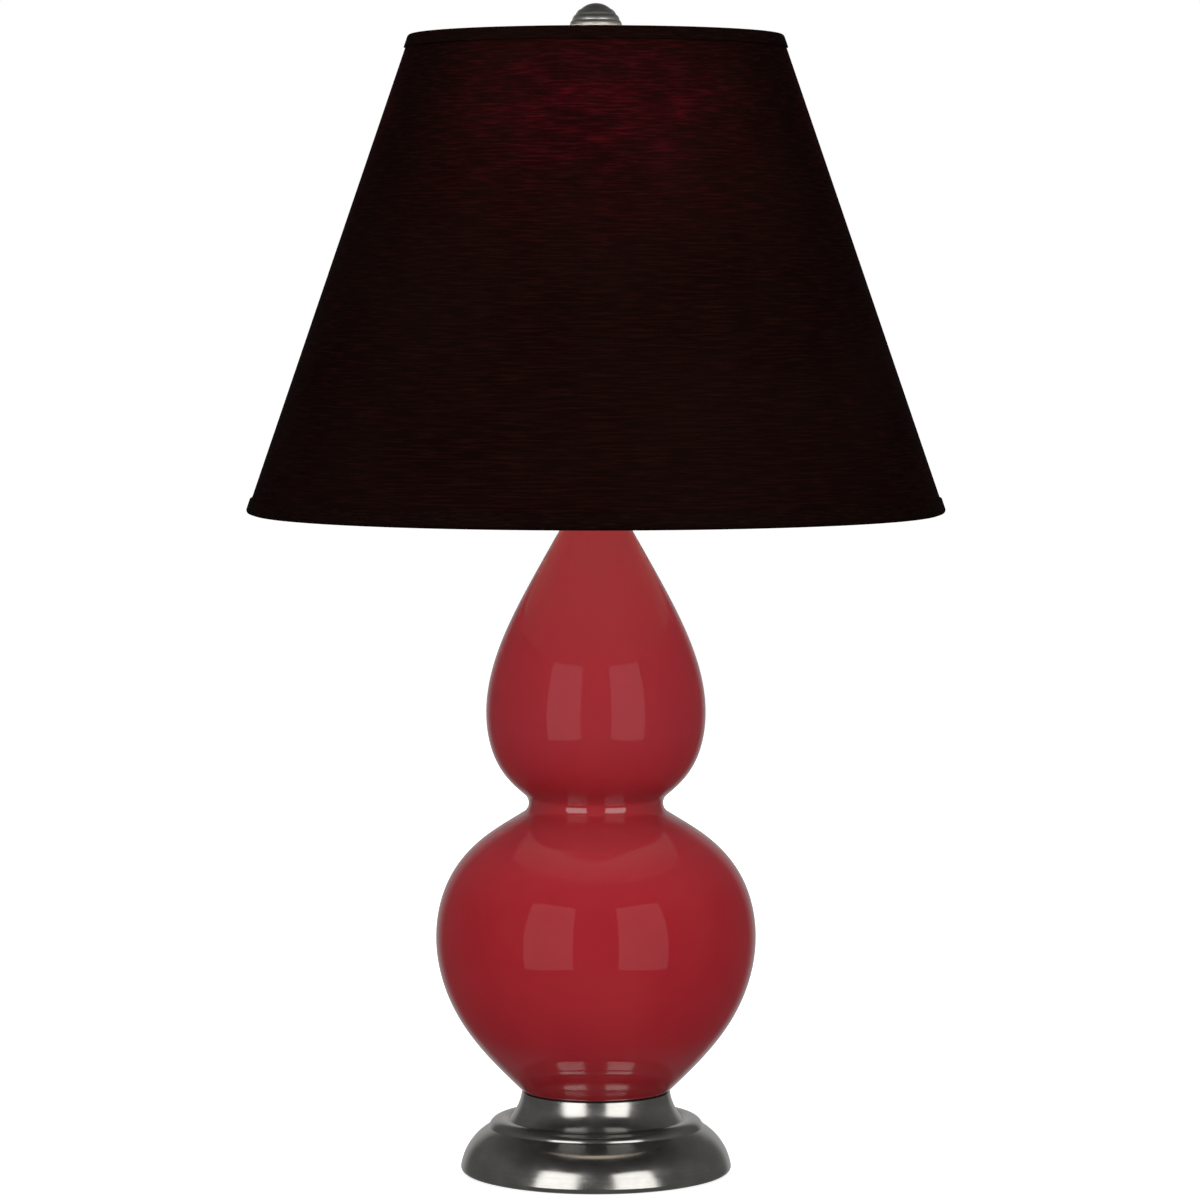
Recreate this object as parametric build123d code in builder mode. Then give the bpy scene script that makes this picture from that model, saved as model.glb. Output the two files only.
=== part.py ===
from build123d import *

import math
import os

os.makedirs("parts", exist_ok=True)

# A double gourd table lamp: a slip-cast ceramic body of two lobes on a spun metal foot, with a
# wire harp and a turn-knob lamp holder on a threaded pipe, and a tapered fabric shade held down
# on the harp by a ribbed finial. Millimetres, +Z up, the origin at the middle of the underside.
# The front is -Y, the harp lies in the XZ plane and the cord inlet is at the back, on +Y.

# ---------------------------------------------------------------- fits and clearances
seat_gap = 0.3              # between pieces that come apart or turn on each other
running_fit = 0.05          # radial, a shaft turning in its bore
slip_fit = 0.1              # radial, pieces of one assembly pushed or screwed together
glue_gap = 0.05             # between the glued layers of the shade

# ---------------------------------------------------------------- metal foot
base_height = 40.5          # underside of the lamp to the top of the foot's neck
base_wall = 1.2
base_neck_radius = 36.8
base_neck_round = 24.0      # radius of the neck's hollow curve
base_neck_edge = 0.8
bead_foot_radius = 43.6     # where the neck runs out onto the bead
bead_foot_height = 26.4
bead_round = 9.5            # radius of the bead's section
crease_radius = 53.3        # groove between the bead and the dome
crease_height = 23.1
dome_round = 31.0           # radius of the dome's section
base_radius = 67.1          # widest part of the foot
base_widest_height = 3.6
base_rim_inset = 2.1        # the rim rolls in under the widest part
base_rim_lift = 0.6         # the rim clears the table, the felt carries the lamp
felt_thickness = 2.0
felt_margin = 0.5           # felt to the inside of the rim

weight_margin = 5.6         # iron weight to the inside of the foot at its widest
weight_height = 12.6
weight_recess_radius = 18.0
weight_recess_depth = 8.0
weight_slot_width = 11.0    # lets the cord reach the pipe

cord_hole_height = 9.0
cord_bore_radius = 3.2
bushing_barrel_radius = 4.5
bushing_flange_radius = 6.3
bushing_flange_proud = 1.6
bushing_length = 9.0

# ---------------------------------------------------------------- threaded pipe and its fixings
pipe_radius = 4.75
pipe_bore_radius = 3.2
pipe_bottom = 4.0
pipe_thread_in_socket = 5.0     # how far the pipe reaches into the lamp holder's cap
nut_across_flats = 14.3
nut_thickness = 3.8
washer_radius = 14.0
washer_thickness = 1.6

# ---------------------------------------------------------------- ceramic body
gasket_thickness = 0.5
gasket_inner_radius = 26.0
gasket_margin = 1.6         # the gasket stays out of sight under the foot of the ceramic
ceramic_wall = 5.0
wall_steps = 12             # spans between the points that carry the outline to the inside
foot_radius = 36.5
foot_slope = 1.03           # growth of the radius for each millimetre of height
foot_edge = 0.8
flare_radius = 51.5         # lower lobe, widening
flare_height = 15.0         # heights on the body are measured from its own underside
swell_radius = 69.4
swell_height = 39.0
belly_radius = 79.3         # widest part of the lower lobe
belly_height = 78.1
crown_radius = 70.8         # lower lobe, closing
crown_height = 109.0
brow_radius = 56.6
brow_height = 125.0
shoulder_radius = 41.85     # last point of the lower lobe's curve
shoulder_height = 135.0
shoulder_slope = -1.62
waist_blend = 5.4           # radius of the hollow between the lobes
underside_radius = 38.2     # first point of the upper lobe's curve
underside_height = 150.0
underside_slope = 1.15
cheek_radius = 46.4
cheek_height = 159.0
lobe_radius = 54.3          # widest part of the upper lobe
lobe_height = 189.5
taper_radius = 49.7
taper_height = 215.0
throat_radius = 34.4
throat_height = 249.0
neck_radius = 12.6          # outside of the ceramic at its mouth
body_height = 288.0
neck_slope = -0.555
mouth_radius = 8.0
mouth_depth = 12.0
floor_thickness = 6.0
drill_clearance = 1.5       # radial, the hole drilled for the pipe

# ---------------------------------------------------------------- cap, spacer and harp saddle
cap_radius = 15.0
cap_brim = 1.6
cap_height = 6.5
cap_top_radius = 9.0
cap_spigot_depth = 4.0
spacer_radius = 7.0
spacer_height = 7.5
saddle_thickness = 2.0
saddle_width = 12.0
locknut_thickness = 3.0

# ---------------------------------------------------------------- harp
harp_height = 203.0         # saddle to the seat of the shade, a common 8 inch harp
harp_wire_radius = 1.75
harp_leg_spacing = 44.0
harp_knee_height = 42.0     # heights on the harp are measured from the saddle's underside
harp_knee_round = 40.0
harp_half_width = 54.0
harp_wide_height = 97.0
harp_side_round = 80.0
harp_shoulder_radius = 50.0
harp_shoulder_drop = 27.0       # from the wire's top run down to the shoulder
harp_shoulder_round = 40.0
harp_top_half_width = 24.0
harp_top_round = 30.0
harp_wire_drop = 7.0        # seat of the shade down to the wire's centre line
post_height = 8.0
sleeve_wall = 1.15
sleeve_length = 13.0
clip_length = 15.0
clip_width = 9.0
clip_depth = 10.5
clip_edge = 1.2

swivel_plate_radius = 10.0
swivel_plate_thickness = 1.5
swivel_rivet_radius = 2.0
swivel_rivet_length = 4.0
stud_radius = 3.0
stud_length = 13.5

# ---------------------------------------------------------------- lamp holder
holder_cap_radius = 17.2
holder_cap_wall = 0.7
holder_hub_radius = 7.5
holder_hub_height = 5.0
holder_cone_height = 4.0
holder_cap_height = 20.0
holder_shell_wall = 0.6
holder_shell_overlap = 4.0      # shell inside the cap
holder_height = 60.0
insulator_wall = 0.5
block_height = 18.0
block_side_gap = 0.3
block_flat_distance = 12.4      # flats that carry the terminal screws
screw_shell_radius = 14.2
screw_shell_wall = 0.5
contact_radius = 4.0
contact_thickness = 1.2
contact_rivet_radius = 1.2
contact_rivet_length = 5.0
terminal_head_radius = 3.0
terminal_head_height = 1.5
terminal_shank_radius = 1.5
terminal_shank_length = 6.0
terminal_slot_width = 0.7
terminal_slot_depth = 0.7
set_screw_radius = 1.2
set_screw_length = 3.6

switch_height = 27.0            # from the underside of the lamp holder
switch_shaft_radius = 1.6
switch_shaft_start = 5.0        # from the lamp's axis
switch_hole_radius = 2.6
knob_radius = 6.0
knob_tip_radius = 5.2
knob_length = 15.0
knob_clearance = 1.0            # knob to the holder's shell
knob_flute_count = 12
knob_flute_radius = 0.8
knob_wall = 2.5                 # plastic left in front of the shaft's end

# ---------------------------------------------------------------- bulb
bulb_radius = 30.0
bulb_length = 110.0
bulb_neck_radius = 12.4
bulb_neck_length = 12.0
bulb_wall = 1.0
bulb_thread_radius = 13.2
bulb_thread_length = 22.0
bulb_base_wall = 0.5
bulb_insulator_height = 3.6
bulb_tip_radius = 4.5
bulb_tip_height = 1.5
bulb_flare_radius = 23.0        # envelope between its neck and its globe
bulb_flare_height = 50.0

# ---------------------------------------------------------------- shade
shade_bottom_radius = 172.6
shade_top_radius = 92.0
shade_height = 234.2
spider_drop = 12.5              # top edge of the shade above the top of the hub
fabric_thickness = 0.5
liner_thickness = 0.5
trim_thickness = 0.8
trim_height = 7.0
trim_round = 1.8            # also how far the cloth stops short of the rim
ring_wire_radius = 1.3
hub_radius = 12.0
hub_thickness = 2.4
spoke_wire_radius = 1.3
spoke_count = 3
spoke_level_radius = 85.5       # the spokes run level out to here, then rise to the ring
spoke_bend = 7.0

# ---------------------------------------------------------------- finial
finial_height = 27.2
finial_tier_radii = (7.2, 9.9, 11.6, 12.6)      # beehive steps from the top down
finial_tier_height = 2.8
finial_tier_bulge = 0.45
finial_stem_radius = 5.8
finial_foot_radius = 8.0
finial_foot_height = 2.4
finial_thread_clearance = 0.3

# ---------------------------------------------------------------- places worked out from the sizes
base_rim_radius = base_radius - base_rim_inset
weight_bottom = felt_thickness
weight_web_bottom = weight_bottom + weight_recess_depth
nut_bottom = weight_web_bottom - washer_thickness - nut_thickness
body_bottom = base_height + gasket_thickness
body_top = body_bottom + body_height
cap_top = body_top + cap_height
saddle_bottom = cap_top + spacer_height
saddle_top = saddle_bottom + saddle_thickness
holder_bottom = saddle_top + locknut_thickness
holder_top = holder_bottom + holder_height
pipe_top = holder_bottom + pipe_thread_in_socket
pipe_hole_radius = pipe_radius + slip_fit

harp_top = saddle_bottom + harp_height
harp_leg_x = harp_leg_spacing / 2
harp_wire_height = harp_top - harp_wire_drop
harp_shoulder_height = harp_height - harp_wire_drop - harp_shoulder_drop
post_top = saddle_top + post_height
plate_bottom = harp_top + seat_gap
plate_top = plate_bottom + swivel_plate_thickness
hub_bottom = plate_top + seat_gap
hub_top = hub_bottom + hub_thickness
finial_bottom = hub_top + seat_gap
stud_top = plate_top + stud_length

shade_top = hub_top + spider_drop
shade_bottom = shade_top - shade_height
shade_slant = math.hypot(shade_height, shade_bottom_radius - shade_top_radius)
shade_angle = math.atan2(shade_bottom_radius - shade_top_radius, shade_height)

# Sketches of the shade's section lie in this plane: its x points straight out of the cloth and
# its y runs up the slant from the bottom edge.
slant_plane = Plane(
    origin=(shade_bottom_radius, 0, shade_bottom),
    x_dir=(math.cos(shade_angle), 0, math.sin(shade_angle)),
    z_dir=(0, -1, 0),
)
fabric_inside = -trim_thickness - glue_gap - fabric_thickness
liner_outside = fabric_inside - glue_gap
liner_inside = liner_outside - liner_thickness
ring_offset = liner_inside - glue_gap - ring_wire_radius
ring_inset = trim_thickness + glue_gap + ring_wire_radius
trim_inside = ring_offset - ring_wire_radius - glue_gap - trim_thickness


# ================================================================ foot
with BuildPart() as felt_pad:
    with BuildSketch():
        Circle(base_rim_radius - base_wall - felt_margin)
    extrude(amount=felt_thickness)
felt_pad.part.label = "felt_pad"
export_step(felt_pad.part, "parts/felt_pad.step")

# The section of the spun foot: hollow neck, bead, crease, dome and rolled rim. It is drawn
# flat, with the radius along X and the height along Y.
with BuildLine() as foot_line:
    plate = Line((pipe_hole_radius, base_height), (base_neck_radius, base_height))
    neck = RadiusArc(plate @ 1, (bead_foot_radius, bead_foot_height), -base_neck_round)
    bead = RadiusArc(neck @ 1, (crease_radius, crease_height), bead_round)
    dome = RadiusArc(bead @ 1, (base_radius, base_widest_height), dome_round)
    rim = TangentArc(dome @ 1, (base_rim_radius, base_rim_lift), tangent=dome % 1)

# The same foot as a full solid, which trims the bushing's flange to the curve of the dome.
with BuildPart() as foot_envelope:
    with BuildSketch(Plane.XZ):
        with BuildLine():
            add(foot_line.line)
            Polyline(rim @ 1, (0, base_rim_lift), (0, base_height), plate @ 0)
        make_face()
    revolve(axis=Axis.Z)

with BuildPart() as base_shell:
    with BuildSketch(Plane.XZ):
        with BuildLine():
            add(foot_line.line)
            offset(amount=base_wall, side=Side.RIGHT)
        make_face()
    revolve(axis=Axis.Z)
    rims = base_shell.edges().filter_by(GeomType.CIRCLE)
    fillet(rims.group_by(Axis.Z)[-1].sort_by(SortBy.RADIUS)[-1], radius=base_neck_edge)
    with BuildSketch(Plane.XZ):
        with Locations((0, cord_hole_height)):
            Circle(bushing_barrel_radius + slip_fit)
    extrude(amount=-base_radius, mode=Mode.SUBTRACT)
base_shell.part.label = "base_shell"
export_step(base_shell.part, "parts/base_shell.step")

# A slotted iron disc: the slot takes the cord and the recess takes the nut and washer.
with BuildPart() as base_weight:
    with BuildSketch(Plane.XY.offset(weight_bottom)):
        Circle(base_radius - base_wall - weight_margin)
        Circle(pipe_hole_radius, mode=Mode.SUBTRACT)
    extrude(amount=weight_height)
    with BuildSketch(Plane.XY.offset(weight_bottom)):
        Circle(weight_recess_radius)
    extrude(amount=weight_recess_depth, mode=Mode.SUBTRACT)
    with BuildSketch(Plane.XY.offset(weight_bottom)):
        Rectangle(weight_slot_width, base_radius, align=(Align.CENTER, Align.MIN))
    extrude(amount=weight_height, mode=Mode.SUBTRACT)
base_weight.part.label = "base_weight"
export_step(base_weight.part, "parts/base_weight.step")

with BuildPart() as cord_bushing:
    with BuildSketch(Plane.XZ.offset(-base_radius - bushing_flange_proud)):
        with Locations((0, cord_hole_height)):
            Circle(bushing_flange_radius)
    extrude(amount=bushing_length)
    add(foot_envelope.part, mode=Mode.SUBTRACT)
    with BuildSketch(Plane.XZ.offset(-base_radius - bushing_flange_proud)):
        with Locations((0, cord_hole_height)):
            Circle(bushing_barrel_radius)
    extrude(amount=bushing_length)
    with BuildSketch(Plane.XZ.offset(-base_radius - bushing_flange_proud)):
        with Locations((0, cord_hole_height)):
            Circle(cord_bore_radius)
    extrude(amount=bushing_length, mode=Mode.SUBTRACT)
cord_bushing.part.label = "cord_bushing"
export_step(cord_bushing.part, "parts/cord_bushing.step")

# ================================================================ pipe and its fixings
with BuildPart() as lamp_pipe:
    with BuildSketch(Plane.XY.offset(pipe_bottom)):
        Circle(pipe_radius)
        Circle(pipe_bore_radius, mode=Mode.SUBTRACT)
    extrude(amount=pipe_top - pipe_bottom)
lamp_pipe.part.label = "lamp_pipe"
export_step(lamp_pipe.part, "parts/lamp_pipe.step")

with BuildPart() as pipe_washer:
    with BuildSketch(Plane.XY.offset(weight_web_bottom - washer_thickness)):
        Circle(washer_radius)
        Circle(pipe_hole_radius, mode=Mode.SUBTRACT)
    extrude(amount=washer_thickness)
pipe_washer.part.label = "pipe_washer"
export_step(pipe_washer.part, "parts/pipe_washer.step")

with BuildPart() as pipe_nut:
    with BuildSketch(Plane.XY.offset(nut_bottom)):
        RegularPolygon(nut_across_flats / 2, side_count=6, major_radius=False)
        Circle(pipe_hole_radius, mode=Mode.SUBTRACT)
    extrude(amount=nut_thickness)
pipe_nut.part.label = "pipe_nut"
export_step(pipe_nut.part, "parts/pipe_nut.step")

# ================================================================ ceramic body
with BuildPart() as foot_gasket:
    with BuildSketch(Plane.XY.offset(base_height)):
        Circle(base_neck_radius - gasket_margin)
        Circle(gasket_inner_radius, mode=Mode.SUBTRACT)
    extrude(amount=gasket_thickness)
foot_gasket.part.label = "foot_gasket"
export_step(foot_gasket.part, "parts/foot_gasket.step")

# Two smooth lobes, drawn flat with the radius along X and the height along Y. The straight runs
# that leave them at the waist meet in a notch, which one arc blends. The inside of the clay is
# the same outline, every point of it moved in along its own normal by the thickness of the wall.
def meeting_point(low, low_slope, high, high_slope):
    """Find where the straight run up from low meets the one down from high.

    The slopes are growths of the radius for each millimetre of height.
    """
    rise = (high.X - low.X - high_slope * (high.Y - low.Y)) / (low_slope - high_slope)
    return (low.X + low_slope * rise, low.Y + rise)


def inner_lobe(lobe):
    """Draw the inside of one lobe from its finished outline."""
    places = [step / wall_steps for step in range(wall_steps + 1)]
    Spline(
        *[lobe @ place + (lobe % place).rotate(Axis.Z, 90) * ceramic_wall for place in places],
        tangents=[lobe % 0, lobe % 1],
    )


def waist_line(low, high, radius):
    """Draw the blended notch between the end of the lower lobe and the start of the upper one."""
    notch = meeting_point(low, shoulder_slope, high, underside_slope)
    FilletPolyline(low, notch, high, radius=radius)


with BuildLine() as lower_lobe:
    lower_outline = Spline(
        (foot_radius, 0),
        (flare_radius, flare_height),
        (swell_radius, swell_height),
        (belly_radius, belly_height),
        (crown_radius, crown_height),
        (brow_radius, brow_height),
        (shoulder_radius, shoulder_height),
        tangents=[(foot_slope, 1), (shoulder_slope, 1)],
    )

with BuildLine() as upper_lobe:
    upper_outline = Spline(
        (underside_radius, underside_height),
        (cheek_radius, cheek_height),
        (lobe_radius, lobe_height),
        (taper_radius, taper_height),
        (throat_radius, throat_height),
        (neck_radius, body_height),
        tangents=[(underside_slope, 1), (neck_slope, 1)],
    )

with BuildLine() as lower_inside:
    inner_lobe(lower_outline)

with BuildLine() as upper_inside:
    inner_lobe(upper_outline)

inside_start = lower_inside.line @ 0
inside_end = upper_inside.line @ 1
body_plane = Plane.XZ.shift_origin((0, 0, body_bottom))
with BuildPart() as gourd_body:
    with BuildSketch(body_plane):
        with BuildLine():
            add(lower_lobe.line)
            waist_line(lower_outline @ 1, upper_outline @ 0, waist_blend)
            add(upper_lobe.line)
            Polyline(upper_outline @ 1, (0, body_height), (0, 0), lower_outline @ 0)
        make_face()
    revolve(axis=Axis.Z)
    with BuildSketch(body_plane):
        with BuildLine():
            add(lower_inside.line)
            waist_line(lower_inside.line @ 1, upper_inside.line @ 0, waist_blend + ceramic_wall)
            add(upper_inside.line)
            Polyline(inside_end, (0, inside_end.Y), (0, inside_start.Y), inside_start)
        make_face()
        Rectangle(
            2 * foot_radius, floor_thickness, align=(Align.CENTER, Align.MIN), mode=Mode.SUBTRACT
        )
    revolve(axis=Axis.Z, mode=Mode.SUBTRACT)
    with BuildSketch(Plane.XY.offset(body_top)):
        Circle(mouth_radius)
    extrude(amount=-mouth_depth, mode=Mode.SUBTRACT)
    with BuildSketch(Plane.XY.offset(body_bottom)):
        Circle(pipe_radius + drill_clearance)
    extrude(amount=floor_thickness, mode=Mode.SUBTRACT)
    rims = gourd_body.edges().filter_by(GeomType.CIRCLE)
    fillet(rims.group_by(Axis.Z)[0].sort_by(SortBy.RADIUS)[-1], radius=foot_edge)
gourd_body.part.label = "gourd_body"
export_step(gourd_body.part, "parts/gourd_body.step")

# ================================================================ cap, spacer and saddle
with BuildPart() as vase_cap:
    with BuildSketch(Plane.XZ.shift_origin((0, 0, body_top))):
        with BuildLine():
            Polyline(
                (cap_top_radius, cap_height),
                (pipe_hole_radius, cap_height),
                (pipe_hole_radius, -cap_spigot_depth),
                (mouth_radius - slip_fit, -cap_spigot_depth),
                (mouth_radius - slip_fit, 0),
                (cap_radius, 0),
                (cap_radius, cap_brim),
            )
            RadiusArc((cap_top_radius, cap_height), (cap_radius, cap_brim), cap_height)
        make_face()
    revolve(axis=Axis.Z)
vase_cap.part.label = "vase_cap"
export_step(vase_cap.part, "parts/vase_cap.step")

with BuildPart() as neck_spacer:
    with BuildSketch(Plane.XY.offset(cap_top)):
        Circle(spacer_radius)
        Circle(pipe_hole_radius, mode=Mode.SUBTRACT)
    extrude(amount=spacer_height)
neck_spacer.part.label = "neck_spacer"
export_step(neck_spacer.part, "parts/neck_spacer.step")

with BuildPart() as harp_saddle:
    with BuildSketch(Plane.XY.offset(saddle_bottom)):
        SlotCenterToCenter(harp_leg_spacing, saddle_width)
        Circle(pipe_hole_radius, mode=Mode.SUBTRACT)
    extrude(amount=saddle_thickness)
    with BuildSketch(Plane.XY.offset(saddle_top)):
        with Locations((-harp_leg_x, 0), (harp_leg_x, 0)):
            Circle(harp_wire_radius)
    extrude(amount=post_height)
harp_saddle.part.label = "harp_saddle"
export_step(harp_saddle.part, "parts/harp_saddle.step")

with BuildPart() as harp_locknut:
    with BuildSketch(Plane.XY.offset(saddle_top)):
        RegularPolygon(nut_across_flats / 2, side_count=6, major_radius=False)
        Circle(pipe_hole_radius, mode=Mode.SUBTRACT)
    extrude(amount=locknut_thickness)
harp_locknut.part.label = "harp_locknut"
export_step(harp_locknut.part, "parts/harp_locknut.step")

# ================================================================ harp
with BuildPart() as harp_wire:
    with BuildLine(Plane.XZ.shift_origin((0, 0, saddle_bottom))) as harp_path:
        FilletPolyline(
            (harp_leg_x, post_top - saddle_bottom),
            (harp_leg_x, harp_knee_height),
            (harp_half_width, harp_wide_height),
            (harp_shoulder_radius, harp_shoulder_height),
            (harp_top_half_width, harp_height - harp_wire_drop),
            (-harp_top_half_width, harp_height - harp_wire_drop),
            (-harp_shoulder_radius, harp_shoulder_height),
            (-harp_half_width, harp_wide_height),
            (-harp_leg_x, harp_knee_height),
            (-harp_leg_x, post_top - saddle_bottom),
            radius=[
                harp_knee_round, harp_side_round, harp_shoulder_round, harp_top_round,
                harp_top_round, harp_shoulder_round, harp_side_round, harp_knee_round,
            ],
        )
    with BuildSketch(Plane.XY.offset(post_top)):
        with Locations((harp_leg_x, 0)):
            Circle(harp_wire_radius)
    sweep(path=harp_path.line)
harp_wire.part.label = "harp_wire"
export_step(harp_wire.part, "parts/harp_wire.step")

# The clip is brazed round the top of the wire and carries the swivel's rivet in a blind bore.
with BuildPart() as harp_clip:
    with BuildSketch(Plane.XY.offset(harp_top)):
        Rectangle(clip_length, clip_width)
    extrude(amount=-clip_depth)
    fillet(harp_clip.edges().filter_by(Axis.Z), radius=clip_edge)
    with BuildSketch(Plane.YZ.offset(-clip_length / 2)):
        with Locations((0, harp_wire_height)):
            Circle(harp_wire_radius + slip_fit)
    extrude(amount=clip_length, mode=Mode.SUBTRACT)
    with BuildSketch(Plane.XY.offset(harp_top)):
        Circle(swivel_rivet_radius + running_fit)
    extrude(amount=-swivel_rivet_length - seat_gap, mode=Mode.SUBTRACT)
harp_clip.part.label = "harp_clip"
export_step(harp_clip.part, "parts/harp_clip.step")

with BuildPart() as harp_swivel_stud:
    with BuildSketch(Plane.XY.offset(plate_bottom)):
        Circle(swivel_plate_radius)
    extrude(amount=swivel_plate_thickness)
    with BuildSketch(Plane.XY.offset(plate_top)):
        Circle(stud_radius)
    extrude(amount=stud_length)
    with BuildSketch(Plane.XY.offset(plate_bottom)):
        Circle(swivel_rivet_radius)
    extrude(amount=-swivel_rivet_length)
harp_swivel_stud.part.label = "harp_swivel_stud"
export_step(harp_swivel_stud.part, "parts/harp_swivel_stud.step")

# Ferrules that slide up the legs to free the harp from the saddle's posts.
with BuildPart() as sleeve:
    with BuildSketch(Plane.XY.offset(saddle_top + seat_gap)):
        Circle(harp_wire_radius + seat_gap + sleeve_wall)
        Circle(harp_wire_radius + seat_gap, mode=Mode.SUBTRACT)
    extrude(amount=sleeve_length)

with BuildPart() as harp_sleeve_left:
    with Locations((-harp_leg_x, 0)):
        add(sleeve.part)
harp_sleeve_left.part.label = "harp_sleeve_left"
export_step(harp_sleeve_left.part, "parts/harp_sleeve_left.step")

with BuildPart() as harp_sleeve_right:
    with Locations((harp_leg_x, 0)):
        add(sleeve.part)
harp_sleeve_right.part.label = "harp_sleeve_right"
export_step(harp_sleeve_right.part, "parts/harp_sleeve_right.step")

# ================================================================ lamp holder
holder_cap_top = holder_bottom + holder_cap_height
holder_shell_radius = holder_cap_radius - holder_cap_wall - slip_fit
holder_shell_bottom = holder_cap_top - holder_shell_overlap
insulator_radius = holder_shell_radius - holder_shell_wall - slip_fit
block_radius = insulator_radius - insulator_wall - block_side_gap
block_bottom = holder_shell_bottom
block_top = block_bottom + block_height
screw_shell_top = holder_top - slip_fit
switch_z = holder_bottom + switch_height

cup_bottom = holder_hub_height + holder_cone_height
with BuildPart() as holder_cap:
    with BuildSketch(Plane.XZ.shift_origin((0, 0, holder_bottom))):
        with BuildLine():
            Polyline(
                (pipe_hole_radius, 0),
                (holder_hub_radius, 0),
                (holder_hub_radius, holder_hub_height),
                (holder_cap_radius, cup_bottom),
                (holder_cap_radius, holder_cap_height),
                (holder_cap_radius - holder_cap_wall, holder_cap_height),
                (holder_cap_radius - holder_cap_wall, cup_bottom + holder_cap_wall),
                (pipe_hole_radius, holder_hub_height + holder_cap_wall),
                close=True,
            )
        make_face()
    revolve(axis=Axis.Z)
    with BuildSketch(Plane.XZ):
        with Locations((0, holder_bottom + holder_hub_height / 2)):
            Circle(set_screw_radius + slip_fit)
    extrude(amount=-holder_hub_radius - slip_fit, mode=Mode.SUBTRACT)
holder_cap.part.label = "holder_cap"
export_step(holder_cap.part, "parts/holder_cap.step")

with BuildPart() as holder_set_screw:
    with BuildSketch(Plane.XZ.offset(-pipe_hole_radius)):
        with Locations((0, holder_bottom + holder_hub_height / 2)):
            Circle(set_screw_radius)
    extrude(amount=-set_screw_length)
holder_set_screw.part.label = "holder_set_screw"
export_step(holder_set_screw.part, "parts/holder_set_screw.step")

with BuildPart() as holder_shell:
    with BuildSketch(Plane.XY.offset(holder_shell_bottom)):
        Circle(holder_shell_radius)
        Circle(holder_shell_radius - holder_shell_wall, mode=Mode.SUBTRACT)
    extrude(amount=holder_top - holder_shell_bottom)
    with BuildSketch(Plane.XZ):
        with Locations((0, switch_z)):
            Circle(switch_hole_radius)
    extrude(amount=holder_cap_radius, mode=Mode.SUBTRACT)
holder_shell.part.label = "holder_shell"
export_step(holder_shell.part, "parts/holder_shell.step")

with BuildPart() as holder_insulator:
    with BuildSketch(Plane.XY.offset(holder_shell_bottom)):
        Circle(insulator_radius)
        Circle(insulator_radius - insulator_wall, mode=Mode.SUBTRACT)
    extrude(amount=holder_top - holder_shell_bottom)
    with BuildSketch(Plane.XZ):
        with Locations((0, switch_z)):
            Circle(switch_hole_radius)
    extrude(amount=holder_cap_radius, mode=Mode.SUBTRACT)
holder_insulator.part.label = "holder_insulator"
export_step(holder_insulator.part, "parts/holder_insulator.step")

# The moulded block inside the shell holds the switch, the two terminals and the contact's rivet.
terminal_height = (block_bottom + block_top) / 2
with BuildPart() as switch_block:
    with BuildSketch(Plane.XY.offset(block_bottom)):
        Circle(block_radius)
        Rectangle(2 * block_flat_distance, 2 * block_radius, mode=Mode.INTERSECT)
    extrude(amount=block_height)
    with BuildSketch(Plane.XZ.offset(switch_shaft_start - slip_fit)):
        with Locations((0, switch_z)):
            Circle(switch_shaft_radius + running_fit)
    extrude(amount=block_radius, mode=Mode.SUBTRACT)
    with BuildSketch(Plane.XY.offset(block_top)):
        Circle(contact_rivet_radius + slip_fit)
    extrude(amount=-contact_rivet_length - slip_fit, mode=Mode.SUBTRACT)
    with BuildSketch(Plane.YZ.offset(block_flat_distance), Plane.YZ.offset(-block_flat_distance)):
        with Locations((0, terminal_height)):
            Circle(terminal_shank_radius + slip_fit)
    extrude(amount=terminal_shank_length + slip_fit, both=True, mode=Mode.SUBTRACT)
switch_block.part.label = "switch_block"
export_step(switch_block.part, "parts/switch_block.step")

with BuildPart() as terminal_screw:
    with BuildSketch(Plane.YZ.offset(block_flat_distance)):
        with Locations((0, terminal_height)):
            Circle(terminal_head_radius)
    extrude(amount=terminal_head_height)
    with BuildSketch(Plane.YZ.offset(block_flat_distance)):
        with Locations((0, terminal_height)):
            Circle(terminal_shank_radius)
    extrude(amount=-terminal_shank_length)
    with BuildSketch(Plane.YZ.offset(block_flat_distance + terminal_head_height)):
        with Locations((0, terminal_height)):
            Rectangle(terminal_slot_width, 2 * terminal_head_radius)
    extrude(amount=-terminal_slot_depth, mode=Mode.SUBTRACT)

with BuildPart() as terminal_screws:
    with PolarLocations(0, 2):
        add(terminal_screw.part)
terminal_screws.part.label = "terminal_screws"
export_step(terminal_screws.part, "parts/terminal_screws.step")

with BuildPart() as screw_shell:
    with BuildSketch(Plane.XY.offset(block_top)):
        Circle(screw_shell_radius)
    extrude(amount=screw_shell_top - block_top)
    with BuildSketch(Plane.XY.offset(block_top + screw_shell_wall)):
        Circle(screw_shell_radius - screw_shell_wall)
    extrude(amount=screw_shell_top - block_top, mode=Mode.SUBTRACT)
    with BuildSketch(Plane.XY.offset(block_top)):
        Circle(contact_radius + block_side_gap)
    extrude(amount=screw_shell_wall, mode=Mode.SUBTRACT)
screw_shell.part.label = "screw_shell"
export_step(screw_shell.part, "parts/screw_shell.step")

with BuildPart() as centre_contact:
    with BuildSketch(Plane.XY.offset(block_top)):
        Circle(contact_radius)
    extrude(amount=contact_thickness)
    with BuildSketch(Plane.XY.offset(block_top)):
        Circle(contact_rivet_radius)
    extrude(amount=-contact_rivet_length)
centre_contact.part.label = "centre_contact"
export_step(centre_contact.part, "parts/centre_contact.step")

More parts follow.
